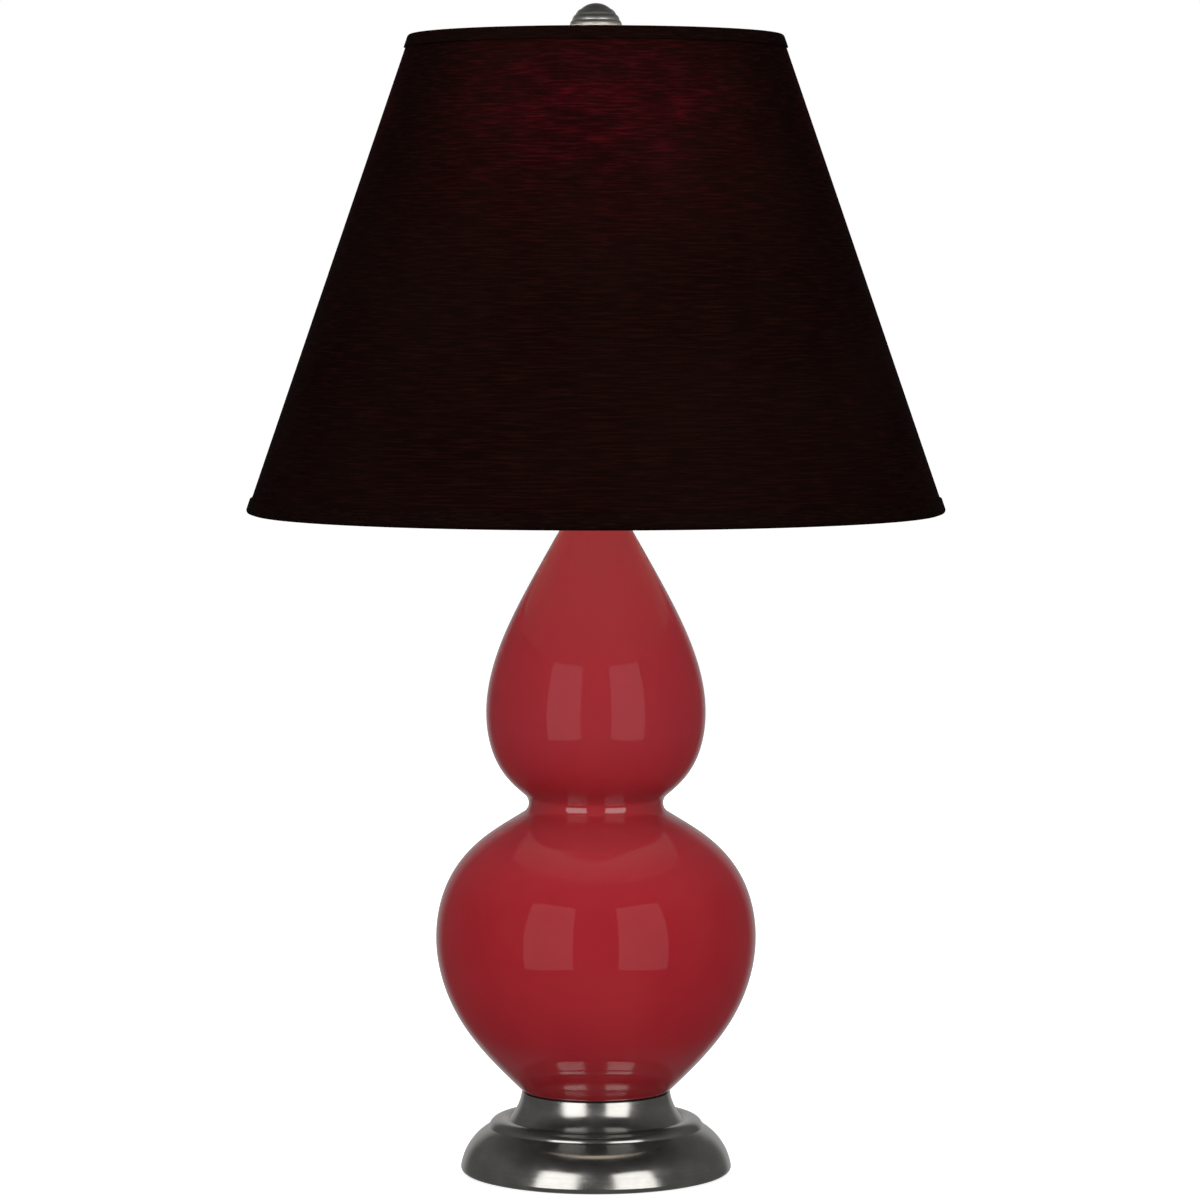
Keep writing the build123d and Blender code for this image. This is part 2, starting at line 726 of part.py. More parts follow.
# ================================================================ switch
knob_start = holder_shell_radius + knob_clearance
shaft_end = knob_start + knob_length - knob_wall
with BuildPart() as switch_shaft:
    with BuildSketch(Plane.XZ.offset(switch_shaft_start)):
        with Locations((0, switch_z)):
            Circle(switch_shaft_radius)
    extrude(amount=shaft_end - switch_shaft_start)
switch_shaft.part.label = "switch_shaft"
export_step(switch_shaft.part, "parts/switch_shaft.step")

knob_plane = Plane(origin=(0, -knob_start, switch_z), x_dir=(1, 0, 0), z_dir=(0, -1, 0))
with BuildPart() as switch_knob:
    with BuildSketch(knob_plane):
        Circle(knob_radius)
    with BuildSketch(knob_plane.offset(knob_length)):
        Circle(knob_tip_radius)
    loft()
    with BuildSketch(knob_plane):
        with PolarLocations(knob_radius, knob_flute_count):
            Circle(knob_flute_radius)
    extrude(amount=knob_length, mode=Mode.SUBTRACT)
    with BuildSketch(knob_plane):
        Circle(switch_shaft_radius + running_fit)
    extrude(amount=shaft_end - knob_start, mode=Mode.SUBTRACT)
switch_knob.part.label = "switch_knob"
export_step(switch_knob.part, "parts/switch_knob.step")

# ================================================================ bulb
bulb_bottom = block_top + contact_thickness + seat_gap
bulb_thread_bottom = bulb_bottom + bulb_tip_height + bulb_insulator_height
bulb_thread_top = bulb_thread_bottom + bulb_thread_length
bulb_top = bulb_bottom + bulb_length
globe_height = bulb_top - bulb_radius
glass_bottom = bulb_thread_top - bulb_neck_length

with BuildPart() as bulb_tip:
    with BuildSketch(Plane.XY.offset(bulb_bottom)):
        Circle(bulb_tip_radius)
    extrude(amount=bulb_tip_height)
bulb_tip.part.label = "bulb_tip"
export_step(bulb_tip.part, "parts/bulb_tip.step")

with BuildPart() as bulb_insulator:
    with BuildSketch(Plane.XY.offset(bulb_bottom + bulb_tip_height)):
        Circle(bulb_tip_radius)
    with BuildSketch(Plane.XY.offset(bulb_thread_bottom)):
        Circle(bulb_thread_radius - bulb_base_wall)
    loft()
bulb_insulator.part.label = "bulb_insulator"
export_step(bulb_insulator.part, "parts/bulb_insulator.step")

with BuildPart() as bulb_base:
    with BuildSketch(Plane.XY.offset(bulb_thread_bottom)):
        Circle(bulb_thread_radius)
        Circle(bulb_thread_radius - bulb_base_wall, mode=Mode.SUBTRACT)
    extrude(amount=bulb_thread_length)
bulb_base.part.label = "bulb_base"
export_step(bulb_base.part, "parts/bulb_base.step")

def envelope_line(inset):
    """Draw the closed half section of the bulb's envelope, moved in by inset from its outside."""
    glass_neck = Line(
        (bulb_neck_radius - inset, glass_bottom), (bulb_neck_radius - inset, bulb_thread_top)
    )
    glass_flare = Spline(
        glass_neck @ 1,
        (bulb_flare_radius - inset, bulb_bottom + bulb_flare_height),
        (bulb_radius - inset, globe_height),
        tangents=[(0, 1), (0, 1)],
    )
    RadiusArc(glass_flare @ 1, (0, bulb_top - inset), -(bulb_radius - inset))
    Polyline((0, bulb_top - inset), (0, glass_bottom), glass_neck @ 0)


with BuildPart() as bulb_glass:
    with BuildSketch(Plane.XZ):
        with BuildLine():
            envelope_line(0)
        make_face()
    revolve(axis=Axis.Z)
    with BuildSketch(Plane.XZ):
        with BuildLine():
            envelope_line(bulb_wall)
        make_face()
    revolve(axis=Axis.Z, mode=Mode.SUBTRACT)
bulb_glass.part.label = "bulb_glass"
export_step(bulb_glass.part, "parts/bulb_glass.step")

# ================================================================ shade
with BuildPart() as shade_fabric:
    with BuildSketch(slant_plane):
        with Locations((fabric_inside, trim_round)):
            Rectangle(fabric_thickness, shade_slant - 2 * trim_round, align=(Align.MIN, Align.MIN))
    revolve(axis=Axis.Z)
shade_fabric.part.label = "shade_fabric"
export_step(shade_fabric.part, "parts/shade_fabric.step")

with BuildPart() as shade_liner:
    with BuildSketch(slant_plane):
        with Locations((liner_inside, trim_round)):
            Rectangle(liner_thickness, shade_slant - 2 * trim_round, align=(Align.MIN, Align.MIN))
    revolve(axis=Axis.Z)
shade_liner.part.label = "shade_liner"
export_step(shade_liner.part, "parts/shade_liner.step")

with BuildPart() as shade_bottom_ring:
    with BuildSketch(slant_plane):
        with Locations((ring_offset, ring_inset)):
            Circle(ring_wire_radius)
    revolve(axis=Axis.Z)
shade_bottom_ring.part.label = "shade_bottom_ring"
export_step(shade_bottom_ring.part, "parts/shade_bottom_ring.step")

with BuildPart() as shade_top_ring:
    with BuildSketch(slant_plane):
        with Locations((ring_offset, shade_slant - ring_inset)):
            Circle(ring_wire_radius)
    revolve(axis=Axis.Z)
shade_top_ring.part.label = "shade_top_ring"
export_step(shade_top_ring.part, "parts/shade_top_ring.step")


def trim_line(edge, inward):
    """Draw the tape folded round one rim and over its ring.

    edge is the rim's place up the slant, and inward, 1 or -1, is the way back onto the cloth.
    """
    FilletPolyline(
        (0, edge + inward * trim_height),
        (0, edge),
        (trim_inside, edge),
        (trim_inside, edge + inward * ring_inset),
        radius=trim_round,
    )
    offset(amount=trim_thickness, side=Side.RIGHT if inward > 0 else Side.LEFT)


with BuildPart() as shade_bottom_trim:
    with BuildSketch(slant_plane):
        with BuildLine():
            trim_line(0, 1)
        make_face()
    revolve(axis=Axis.Z)
shade_bottom_trim.part.label = "shade_bottom_trim"
export_step(shade_bottom_trim.part, "parts/shade_bottom_trim.step")

with BuildPart() as shade_top_trim:
    with BuildSketch(slant_plane):
        with BuildLine():
            trim_line(shade_slant, -1)
        make_face()
    revolve(axis=Axis.Z)
shade_top_trim.part.label = "shade_top_trim"
export_step(shade_top_trim.part, "parts/shade_top_trim.step")

with BuildPart() as spider_hub:
    with BuildSketch(Plane.XY.offset(hub_bottom)):
        Circle(hub_radius)
        Circle(stud_radius + seat_gap, mode=Mode.SUBTRACT)
    extrude(amount=hub_thickness)
spider_hub.part.label = "spider_hub"
export_step(spider_hub.part, "parts/spider_hub.step")

# Three wires leave the hub level, then rise and end against the top ring, where they are welded.
hub_middle = hub_bottom + hub_thickness / 2
ring_centre = slant_plane.from_local_coords((ring_offset, shade_slant - ring_inset))
spoke_run = ring_centre.X - spoke_level_radius
spoke_rise = ring_centre.Z - hub_middle
weld_share = 1 - (ring_wire_radius + slip_fit) / math.hypot(spoke_run, spoke_rise)
with BuildPart() as spoke:
    with BuildLine(Plane.XZ) as spoke_line:
        FilletPolyline(
            (hub_radius + slip_fit, hub_middle),
            (spoke_level_radius, hub_middle),
            (spoke_level_radius + weld_share * spoke_run, hub_middle + weld_share * spoke_rise),
            radius=spoke_bend,
        )
    with BuildSketch(Plane.YZ.offset(hub_radius + slip_fit)):
        with Locations((0, hub_middle)):
            Circle(spoke_wire_radius)
    sweep(path=spoke_line.line)

with BuildPart() as spider_spokes:
    with PolarLocations(0, spoke_count, start_angle=90):
        add(spoke.part)
spider_spokes.part.label = "spider_spokes"
export_step(spider_spokes.part, "parts/spider_spokes.step")

# ================================================================ finial
# A beehive dome of rounded steps on a waisted stem, with a blind thread for the stud.
with BuildPart() as finial:
    with BuildSketch(Plane.XZ.shift_origin((0, 0, finial_bottom))):
        with BuildLine():
            tier_start = (finial_tier_radii[0], finial_height - finial_tier_height)
            TangentArc((0, finial_height), tier_start, tangent=(1, 0))
            for tier, tier_radius in enumerate(finial_tier_radii[1:], start=2):
                tier_end = (tier_radius, finial_height - tier * finial_tier_height)
                SagittaArc(tier_start, tier_end, finial_tier_bulge)
                tier_start = tier_end
            shoulder = TangentArc(
                tier_start, (finial_stem_radius, tier_start[1] - finial_tier_height), tangent=(0, -1)
            )
            foot_start = (finial_foot_radius, finial_foot_height)
            stem = RadiusArc(shoulder @ 1, foot_start, -finial_height)
            Polyline(stem @ 1, (finial_foot_radius, 0), (0, 0), (0, finial_height))
        make_face()
    revolve(axis=Axis.Z)
    with BuildSketch(Plane.XY.offset(finial_bottom)):
        Circle(stud_radius + finial_thread_clearance)
    extrude(amount=stud_top - finial_bottom + seat_gap, mode=Mode.SUBTRACT)
finial.part.label = "finial"
export_step(finial.part, "parts/finial.step")
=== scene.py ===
"""The looks of a double gourd table lamp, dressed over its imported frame.

The lamp is a slip-cast body of two lobes under a deep red gloss glaze. It stands on a spun foot
in dark satin nickel and carries a harp, a lamp holder and a tapered slub-cloth shade that a
beehive finial holds down. Lengths in the dataclasses are millimetres, but for the studio's, which
are metres like every mesh.
"""

import logging
import math
from dataclasses import dataclass
from enum import Enum
from typing import Any, Callable, Optional, Sequence

import bmesh
import bpy
import numpy as np
from numpy.typing import NDArray
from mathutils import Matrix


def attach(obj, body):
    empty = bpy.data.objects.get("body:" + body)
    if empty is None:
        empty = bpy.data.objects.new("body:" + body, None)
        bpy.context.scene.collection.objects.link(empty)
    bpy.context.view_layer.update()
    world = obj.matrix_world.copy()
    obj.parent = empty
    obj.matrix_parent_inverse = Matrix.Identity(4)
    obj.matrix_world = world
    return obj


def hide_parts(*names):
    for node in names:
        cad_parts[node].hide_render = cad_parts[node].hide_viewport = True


Points = NDArray[np.float64]
Tree = bpy.types.NodeTree
Node = bpy.types.Node
Socket = bpy.types.NodeSocket
Inputs = dict[Any, Any]
Colour = tuple[float, float, float, float]
Size = tuple[float, float, float]
Span = tuple[float, float]

MM = 0.001
SHARP = 35.0            # degrees between two faces past which their edge is a real one
FOLDED = 0.97           # share of its distance below which a moved point lies in a fold
LOG = logging.getLogger("lamp")

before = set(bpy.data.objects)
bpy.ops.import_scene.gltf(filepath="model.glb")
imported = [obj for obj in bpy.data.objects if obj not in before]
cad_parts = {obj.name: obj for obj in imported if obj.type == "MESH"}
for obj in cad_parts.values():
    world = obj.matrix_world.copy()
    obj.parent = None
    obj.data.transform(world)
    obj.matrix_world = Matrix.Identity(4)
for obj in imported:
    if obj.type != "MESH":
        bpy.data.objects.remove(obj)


# ------------------------------------------------------------------ lines and surfaces
class Side(Enum):
    """The side of a chord, going from its start to its end, on which an arc's centre lies."""

    LEFT = 1.0
    RIGHT = -1.0


def joined(*parts: Points) -> Points:
    """Chain point lists end to end and drop the points that repeat their neighbour.

    Args:
        parts: Arrays of (radius, height) points, in order.

    Returns:
        One array of points.
    """
    line = np.concatenate([np.atleast_2d(np.asarray(part, float)) for part in parts])
    step = np.linalg.norm(np.diff(line, axis=0), axis=1)
    return line[np.concatenate([[True], step > 1e-6])]


def arc(start: Sequence[float], end: Sequence[float], radius: float, side: Side, steps: int) -> Points:
    """Draw the short circular arc of a given radius between two points.

    The centre stands off the chord's middle by the root of radius squared less half the chord
    squared, and the angle runs evenly from the start to the end.

    Args:
        start: First point.
        end: Last point.
        radius: Radius of the arc.
        side: Side of the chord that the centre is on.
        steps: Number of spans.

    Returns:
        The points along the arc, both ends included.
    """
    a, b = np.asarray(start, float), np.asarray(end, float)
    chord = b - a
    half = np.linalg.norm(chord) / 2
    across = np.array([-chord[1], chord[0]]) / (2 * half)
    centre = (a + b) / 2 + side.value * across * math.sqrt(max(radius**2 - half**2, 0.0))
    first = math.atan2(*(a - centre)[::-1])
    turn = math.atan2(*(b - centre)[::-1]) - first
    turn = (turn + math.pi) % (2 * math.pi) - math.pi
    angle = first + turn * np.linspace(0, 1, steps + 1)
    return centre + radius * np.stack([np.cos(angle), np.sin(angle)], axis=1)


def bulged(start: Sequence[float], end: Sequence[float], rise: float, side: Side, steps: int) -> Points:
    """Draw an arc whose middle stands off its chord by rise, away from the given side.

    The radius is (half the chord squared plus the rise squared) over twice the rise.

    Args:
        start: First point.
        end: Last point.
        rise: How far the arc's middle stands off the chord.
        side: Side of the chord that the centre is on.
        steps: Number of spans.

    Returns:
        The points along the arc, both ends included.
    """
    half = math.dist(start, end) / 2
    return arc(start, end, (half**2 + rise**2) / (2 * rise), side, steps=steps)


def rounded(corners: Sequence[Sequence[float]], radii: Sequence[float], steps: int = 6) -> Points:
    """Draw a line through corners with an arc of its own radius at each one.

    Each arc starts and ends at the radius times the tangent of half the turn from its corner.

    Args:
        corners: The corner points.
        radii: A radius for each inner corner, 0 for a sharp one.
        steps: Spans in each arc.

    Returns:
        The points along the line.
    """
    pts = np.asarray(corners, float)
    parts: list[Points] = [pts[0]]
    for before, corner, after, radius in zip(pts[:-2], pts[1:-1], pts[2:], radii):
        into = (corner - before) / np.linalg.norm(corner - before)
        out = (after - corner) / np.linalg.norm(after - corner)
        cross = float(into[0] * out[1] - into[1] * out[0])
        turn = math.atan2(cross, float(into @ out))
        if radius <= 0 or abs(turn) < 1e-6:
            parts.append(corner)
            continue
        back = radius * math.tan(abs(turn) / 2)
        side = Side.LEFT if turn > 0 else Side.RIGHT
        parts.append(arc(corner - back * into, corner + back * out, radius, side, steps=steps))
    parts.append(pts[-1])
    return joined(*parts)


def smooth_curve(knots: Sequence[Sequence[float]], start: Sequence[float], end: Sequence[float],
                 steps: int) -> Points:
    """Draw the smooth cubic curve through knots that leaves and arrives along given directions.

    The curve's parameter is the distance along the chords. The slopes at the knots come from the
    usual set of linear equations that makes the second derivative continuous, and each span is
    then the cubic that fits its two ends and their slopes.

    Args:
        knots: The points that the curve goes through.
        start: Direction at the first knot.
        end: Direction at the last knot.
        steps: Spans in the whole curve.

    Returns:
        The points along the curve.
    """
    p = np.asarray(knots, float)
    first, last = (np.asarray(v, float) / np.linalg.norm(v) for v in (start, end))
    h = np.linalg.norm(np.diff(p, axis=0), axis=1)
    count = len(p)
    matrix, right = np.eye(count), np.zeros((count, 2))
    right[0], right[-1] = first, last
    inner = np.arange(1, count - 1)
    matrix[inner, inner - 1] = h[1:]
    matrix[inner, inner] = 2 * (h[:-1] + h[1:])
    matrix[inner, inner + 1] = h[:-1]
    slope = np.diff(p, axis=0) / h[:, None]
    right[inner] = 3 * (h[1:, None] * slope[:-1] + h[:-1, None] * slope[1:])
    m = np.linalg.solve(matrix, right)
    place = np.concatenate([[0], np.cumsum(h)])
    s = np.linspace(0, place[-1], steps + 1)
    span = np.clip(np.searchsorted(place, s, side="right") - 1, 0, count - 2)
    w = h[span][:, None]
    t = ((s - place[span]) / h[span])[:, None]
    return ((2 * t**3 - 3 * t**2 + 1) * p[span] + (t**3 - 2 * t**2 + t) * w * m[span]
            + (3 * t**2 - 2 * t**3) * p[span + 1] + (t**3 - t**2) * w * m[span + 1])


def moved_in(line: Points, distance: float) -> Points:
    """Move an outline to its left by a distance, and drop the points that would fold over.

    Each point moves along the normal of its neighbours' chord. A moved point that comes nearer
    to the outline than the distance lies in a fold and is left out.

    Args:
        line: The outline.
        distance: How far to the left of its direction the new line lies.

    Returns:
        The moved line.
    """
    along = np.gradient(line, axis=0)
    along /= np.linalg.norm(along, axis=1)[:, None]
    moved = line + distance * np.stack([-along[:, 1], along[:, 0]], axis=1)
    gap = np.linalg.norm(moved[:, None, :] - line[None, :, :], axis=2).min(axis=1)
    return moved[gap > FOLDED * distance]


def grid_mesh(name: str, grid: Points, wrap_rows: bool, wrap_columns: bool,
              uv: Optional[Points] = None) -> bpy.types.Object:
    """Put a grid of points into a mesh object, with its poles merged and its faces turned out.

    Args:
        name: Name of the object and its mesh.
        grid: Points in metres, shape (rows, columns, 3).
        wrap_rows: Join the last row to the first.
        wrap_columns: Join the last column to the first.
        uv: Surface lengths in metres at the grid's lines, shape (rows + 1, columns + 1, 2).

    Returns:
        The object, at the origin.
    """
    rows, columns = grid.shape[:2]
    i = np.arange(rows if wrap_rows else rows - 1)[:, None]
    j = np.arange(columns if wrap_columns else columns - 1)[None, :]
    down, across = (i + 1) % rows, (j + 1) % columns
    quads = np.stack([i * columns + j, i * columns + across, down * columns + across,
                      down * columns + j], axis=-1).reshape(-1, 4)
    mesh = bpy.data.meshes.new(name)
    mesh.vertices.add(rows * columns)
    mesh.vertices.foreach_set("co", grid.reshape(-1).astype(np.float32))
    mesh.loops.add(quads.size)
    mesh.loops.foreach_set("vertex_index", quads.reshape(-1).astype(np.int32))
    mesh.polygons.add(len(quads))
    mesh.polygons.foreach_set("loop_start", np.arange(0, quads.size, 4, dtype=np.int32))
    if uv is not None:
        corners = np.stack([uv[i, j], uv[i, j + 1], uv[i + 1, j + 1], uv[i + 1, j]], axis=2)
        layer = mesh.uv_layers.new(name="surface")
        layer.data.foreach_set("uv", corners.reshape(-1).astype(np.float32))
    mesh.update(calc_edges=True)
    shape = bmesh.new()
    shape.from_mesh(mesh)
    bmesh.ops.remove_doubles(shape, verts=shape.verts, dist=2e-7)
    bmesh.ops.recalc_face_normals(shape, faces=shape.faces)
    shape.to_mesh(mesh)
    shape.free()
    mesh.polygons.foreach_set("use_smooth", np.ones(len(mesh.polygons), dtype=bool))
    mesh.validate()
    piece = bpy.data.objects.new(name, mesh)
    bpy.context.scene.collection.objects.link(piece)
    return piece


def sharpened(piece: bpy.types.Object, degrees: float = SHARP) -> bpy.types.Object:
    """Mark the edges where two faces meet at more than a given angle as sharp for shading."""
    piece.data.set_sharp_from_angle(angle=math.radians(degrees))
    return piece


def lengths(line: Points) -> Points:
    """Work out the distance along a line at each of its points."""
    return np.concatenate([[0.0], np.cumsum(np.linalg.norm(np.diff(line, axis=0), axis=1))])


def turned(name: str, section: Points, columns: int, closed: bool = True,
           relief: Optional[Callable[[Points, Points, Points], Points]] = None) -> bpy.types.Object:
    """Turn a section about the lamp's axis.

    A point (r, z) of the section becomes (r cos a, r sin a, z) at the angle a. The piece's UV
    map holds r a and the distance along the section, both in metres.

    Args:
        name: Name of the piece.
        section: Points (radius, height) in millimetres.
        columns: Number of faces round the axis.
        closed: Whether the section is a closed loop. If not, its ends lie on the axis or stay open.
        relief: Gives millimetres to add to the radius from the angle, the radius and the height.

    Returns:
        The piece.
    """
    angle = np.linspace(0, 2 * math.pi, columns, endpoint=False)[None, :]
    run = np.concatenate([section, section[:1]]) if closed else np.concatenate([section, section[-1:]])
    along = lengths(run)
    radius = np.repeat(section[:, :1], columns, axis=1)
    if relief is not None:
        radius = radius + relief(angle, section[:, :1], section[:, 1:])
    height = np.repeat(section[:, 1:], columns, axis=1)
    grid = np.stack([radius * np.cos(angle), radius * np.sin(angle), height], axis=-1) * MM
    round_way = np.linspace(0, 2 * math.pi, columns + 1)[None, :] * np.mean(section[:, 0])
    uv = np.stack(np.broadcast_arrays(round_way, along[:, None]), axis=-1) * MM
    return grid_mesh(name, grid, wrap_rows=closed, wrap_columns=True, uv=uv)


def tube(name: str, line: Points, radius: float, flat: Sequence[float],
         sides: int = 24) -> bpy.types.Object:
    """Carry a circle along a line that lies in one plane, with a rounded end at both ends.

    Round each point the circle is the point plus the radius times (cos b n plus sin b f), where f
    is the plane's normal and n stands square to it and to the line. The ends close with rings
    whose radius falls as the cosine while they move out as the sine.

    Args:
        name: Name of the piece.
        line: Points (x, y, z) in millimetres.
        radius: Radius of the wire.
        flat: Normal of the plane that the line lies in.
        sides: Faces round the wire.

    Returns:
        The piece.
    """
    along = np.gradient(line, axis=0)
    along /= np.linalg.norm(along, axis=1)[:, None]
    rings = 5
    dome = np.linspace(0, math.pi / 2, rings)
    edge = radius / 4
    lead = line[0] + edge * (1 - np.sin(dome[::-1]))[:, None] * along[0]
    tail = line[-1] - edge * (1 - np.sin(dome))[:, None] * along[-1]
    shrink = radius - edge + edge * np.cos(dome)
    path = np.concatenate([line[:1], lead, line[1:-1], tail, line[-1:]])
    ways = np.concatenate([along[:1], np.repeat(along[:1], rings, 0), along[1:-1],
                           np.repeat(along[-1:], rings, 0), along[-1:]])
    size = np.concatenate([[0.0], shrink[::-1], np.full(len(line) - 2, radius), shrink, [0.0]])
    normal = np.asarray(flat, float)
    square = np.cross(normal, ways)
    turn = np.linspace(0, 2 * math.pi, sides, endpoint=False)
    ring = np.cos(turn)[None, :, None] * square[:, None, :] + np.sin(turn)[None, :, None] * normal
    grid = (path[:, None, :] + size[:, None, None] * ring) * MM
    return grid_mesh(name, grid, wrap_rows=False, wrap_columns=True)


def baked(piece: bpy.types.Object) -> bpy.types.Object:
    """Turn a piece's modifiers into its mesh.

    Args:
        piece: The piece, at the origin.

    Returns:
        The same piece, with no modifiers.
    """
    shaped = bpy.data.meshes.new_from_object(piece.evaluated_get(bpy.context.evaluated_depsgraph_get()))
    piece.modifiers.clear()
    piece.data = shaped
    return piece


def drilled(piece: bpy.types.Object, start: Sequence[float], end: Sequence[float],
            radius: float) -> bpy.types.Object:
    """Cut a round hole through a piece along a level line.

    Args:
        piece: The piece, a closed shell.
        start: Where the drill's end lies, in millimetres.
        end: Where its other end lies.
        radius: Radius of the hole in millimetres.

    Returns:
        The same piece.
    """
    drill = tube("drill", np.array([start, end], float), radius, (0.0, 0.0, 1.0), sides=40)
    cut = piece.modifiers.new("hole", "BOOLEAN")
    cut.object, cut.operation, cut.solver = drill, "DIFFERENCE", "EXACT"
    baked(piece)
    bpy.data.objects.remove(drill)
    return piece


def softened(node: str, width: float) -> bpy.types.Object:
    """Copy a CAD node's mesh and round its edges as turning, stamping or casting leaves them.

    The copy's loose triangles are merged, those that lie level with each other are joined into
    one face, and each edge where two faces meet at more than SHARP degrees takes a round bevel.

    Args:
        node: Name of the CAD node.
        width: Width of the rounding in millimetres.

    Returns:
        The new piece.
    """
    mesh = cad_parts[node].data.copy()
    shape = bmesh.new()
    shape.from_mesh(mesh)
    bmesh.ops.remove_doubles(shape, verts=shape.verts, dist=2e-6)
    bmesh.ops.dissolve_limit(shape, angle_limit=math.radians(0.5), verts=shape.verts, edges=shape.edges)
    bmesh.ops.recalc_face_normals(shape, faces=shape.faces)
    shape.to_mesh(mesh)
    shape.free()
    mesh.polygons.foreach_set("use_smooth", np.ones(len(mesh.polygons), dtype=bool))
    piece = bpy.data.objects.new(f"{node}_soft", mesh)
    bpy.context.scene.collection.objects.link(piece)
    edge = piece.modifiers.new("edge", "BEVEL")
    edge.width, edge.segments, edge.limit_method = width * MM, 3, "ANGLE"
    edge.angle_limit = math.radians(SHARP)
    return sharpened(baked(piece), degrees=40)


def merged(name: str, pieces: Sequence[bpy.types.Object]) -> bpy.types.Object:
    """Join several pieces into the first one under a new name.

    Args:
        name: The new name.
        pieces: The pieces, in one frame.

    Returns:
        The joined piece.
    """
    shape = bmesh.new()
    for piece in pieces:
        shape.from_mesh(piece.data)
    shape.to_mesh(pieces[0].data)
    shape.free()
    for piece in pieces[1:]:
        bpy.data.objects.remove(piece)
    pieces[0].name = name
    return pieces[0]


# ------------------------------------------------------------------ finishes
def linear(hex_colour: str) -> Colour:
    """Turn an sRGB hex colour into the linear values that a shader takes.

    Args:
        hex_colour: A colour such as "#9b232c".

    Returns:
        Red, green, blue and an alpha of 1.
    """
    parts = [int(hex_colour[k:k + 2], 16) / 255 for k in (1, 3, 5)]
    red, green, blue = (c / 12.92 if c <= 0.04045 else ((c + 0.055) / 1.055) ** 2.4 for c in parts)
    return red, green, blue, 1.0


def add_node(tree: Tree, kind: str, inputs: Optional[Inputs] = None, **settings: Any) -> Node:
    """Add a node, set its properties and fill or link its inputs.

    Args:
        tree: Tree that takes the node.
        kind: The node's type, such as "ShaderNodeMix".
        inputs: What each input takes, by its name or place: a value, a socket, or a node, whose
            first output in use is linked.
        settings: Properties of the node.

    Returns:
        The node.
    """
    node = tree.nodes.new(kind)
    for name, value in settings.items():
        setattr(node, name, value)
    for key, value in (inputs or {}).items():
        if isinstance(value, Node):
            value = next(socket for socket in value.outputs if socket.enabled)
        if isinstance(value, Socket):
            tree.links.new(value, node.inputs[key])
        else:
            node.inputs[key].default_value = value
    return node


def between(span: Span) -> Inputs:
    """Give the range from which a Map Range node reads, from a span in millimetres."""
    return {1: span[0] * MM, 2: span[1] * MM}


def grain(tree: Tree, size: Sequence[float], detail: float = 2.0, rough: float = 0.5,
          source: Any = None, offset: float = 0.0) -> Node:
    """Lay an uneven pattern whose features have a given size in millimetres on each axis.

    Args:
        tree: The material's tree.
        size: Size of a feature along each axis of the coordinates, in millimetres.
        detail: Octaves of finer noise.
        rough: Strength of each octave against the one before.
        source: Coordinates in metres, or the piece's object coordinates.
        offset: Shift along the first axis, so that two patterns differ.

    Returns:
        The noise, from 0 to 1.
    """
    if source is None:
        source = add_node(tree, "ShaderNodeTexCoord").outputs["Object"]
    place = add_node(tree, "ShaderNodeMapping", {
        "Vector": source, "Location": (offset, 0.0, 0.0),
        "Scale": tuple(1.0 / (length * MM) for length in size)})
    return add_node(tree, "ShaderNodeTexNoise", {
        "Vector": place, "Scale": 1.0, "Detail": detail, "Roughness": rough})


def object_axes(tree: Tree) -> Sequence[Socket]:
    """Give a place on the lamp as its x, y and height in metres."""
    place = add_node(tree, "ShaderNodeTexCoord").outputs["Object"]
    return add_node(tree, "ShaderNodeSeparateXYZ", {0: place}).outputs


def turning_coordinates(tree: Tree) -> Node:
    """Give (distance from the lamp's axis, 0, height) in metres, the same all the way round.

    Args:
        tree: The material's tree.

    Returns:
        The node that holds the three.
    """
    x, y, z = object_axes(tree)
    flat = add_node(tree, "ShaderNodeCombineXYZ", {0: x, 1: y})
    radius = add_node(tree, "ShaderNodeVectorMath", {0: flat}, operation="LENGTH")
    return add_node(tree, "ShaderNodeCombineXYZ", {0: radius, 2: z})


@dataclass(frozen=True)
class Finish:
    """A surface finish: a name, the uniform settings of its shader and the pattern over them."""

    name: str
    roughness: float = 0.5
    metallic: float = 0.0
    ior: float = 1.5

    def material(self) -> bpy.types.Material:
        """Make the finish's material, or find the one already made.

        Returns:
            The material.
        """
        found = bpy.data.materials.get(self.name)
        if found is not None:
            return found
        material = bpy.data.materials.new(self.name)
        material.use_nodes = True
        tree = material.node_tree
        tree.nodes.clear()
        inputs: Inputs = {"Roughness": self.roughness, "Metallic": self.metallic}
        if self.metallic < 0.5:
            inputs["IOR"] = self.ior
        shader = add_node(tree, "ShaderNodeBsdfPrincipled", inputs | self.pattern(tree))
        add_node(tree, "ShaderNodeOutputMaterial", {"Surface": shader})
        return material

    def pattern(self, tree: Tree) -> Inputs:
        """Draw the finish's own pattern, and give what goes into the shader's inputs."""
        return {}

    def on(self, piece: bpy.types.Object) -> bpy.types.Object:
        """Give a piece this finish in place of any other.

        Args:
            piece: The piece.

        Returns:
            The same piece.
        """
        piece.data.materials.clear()
        piece.data.materials.append(self.material())
        return piece


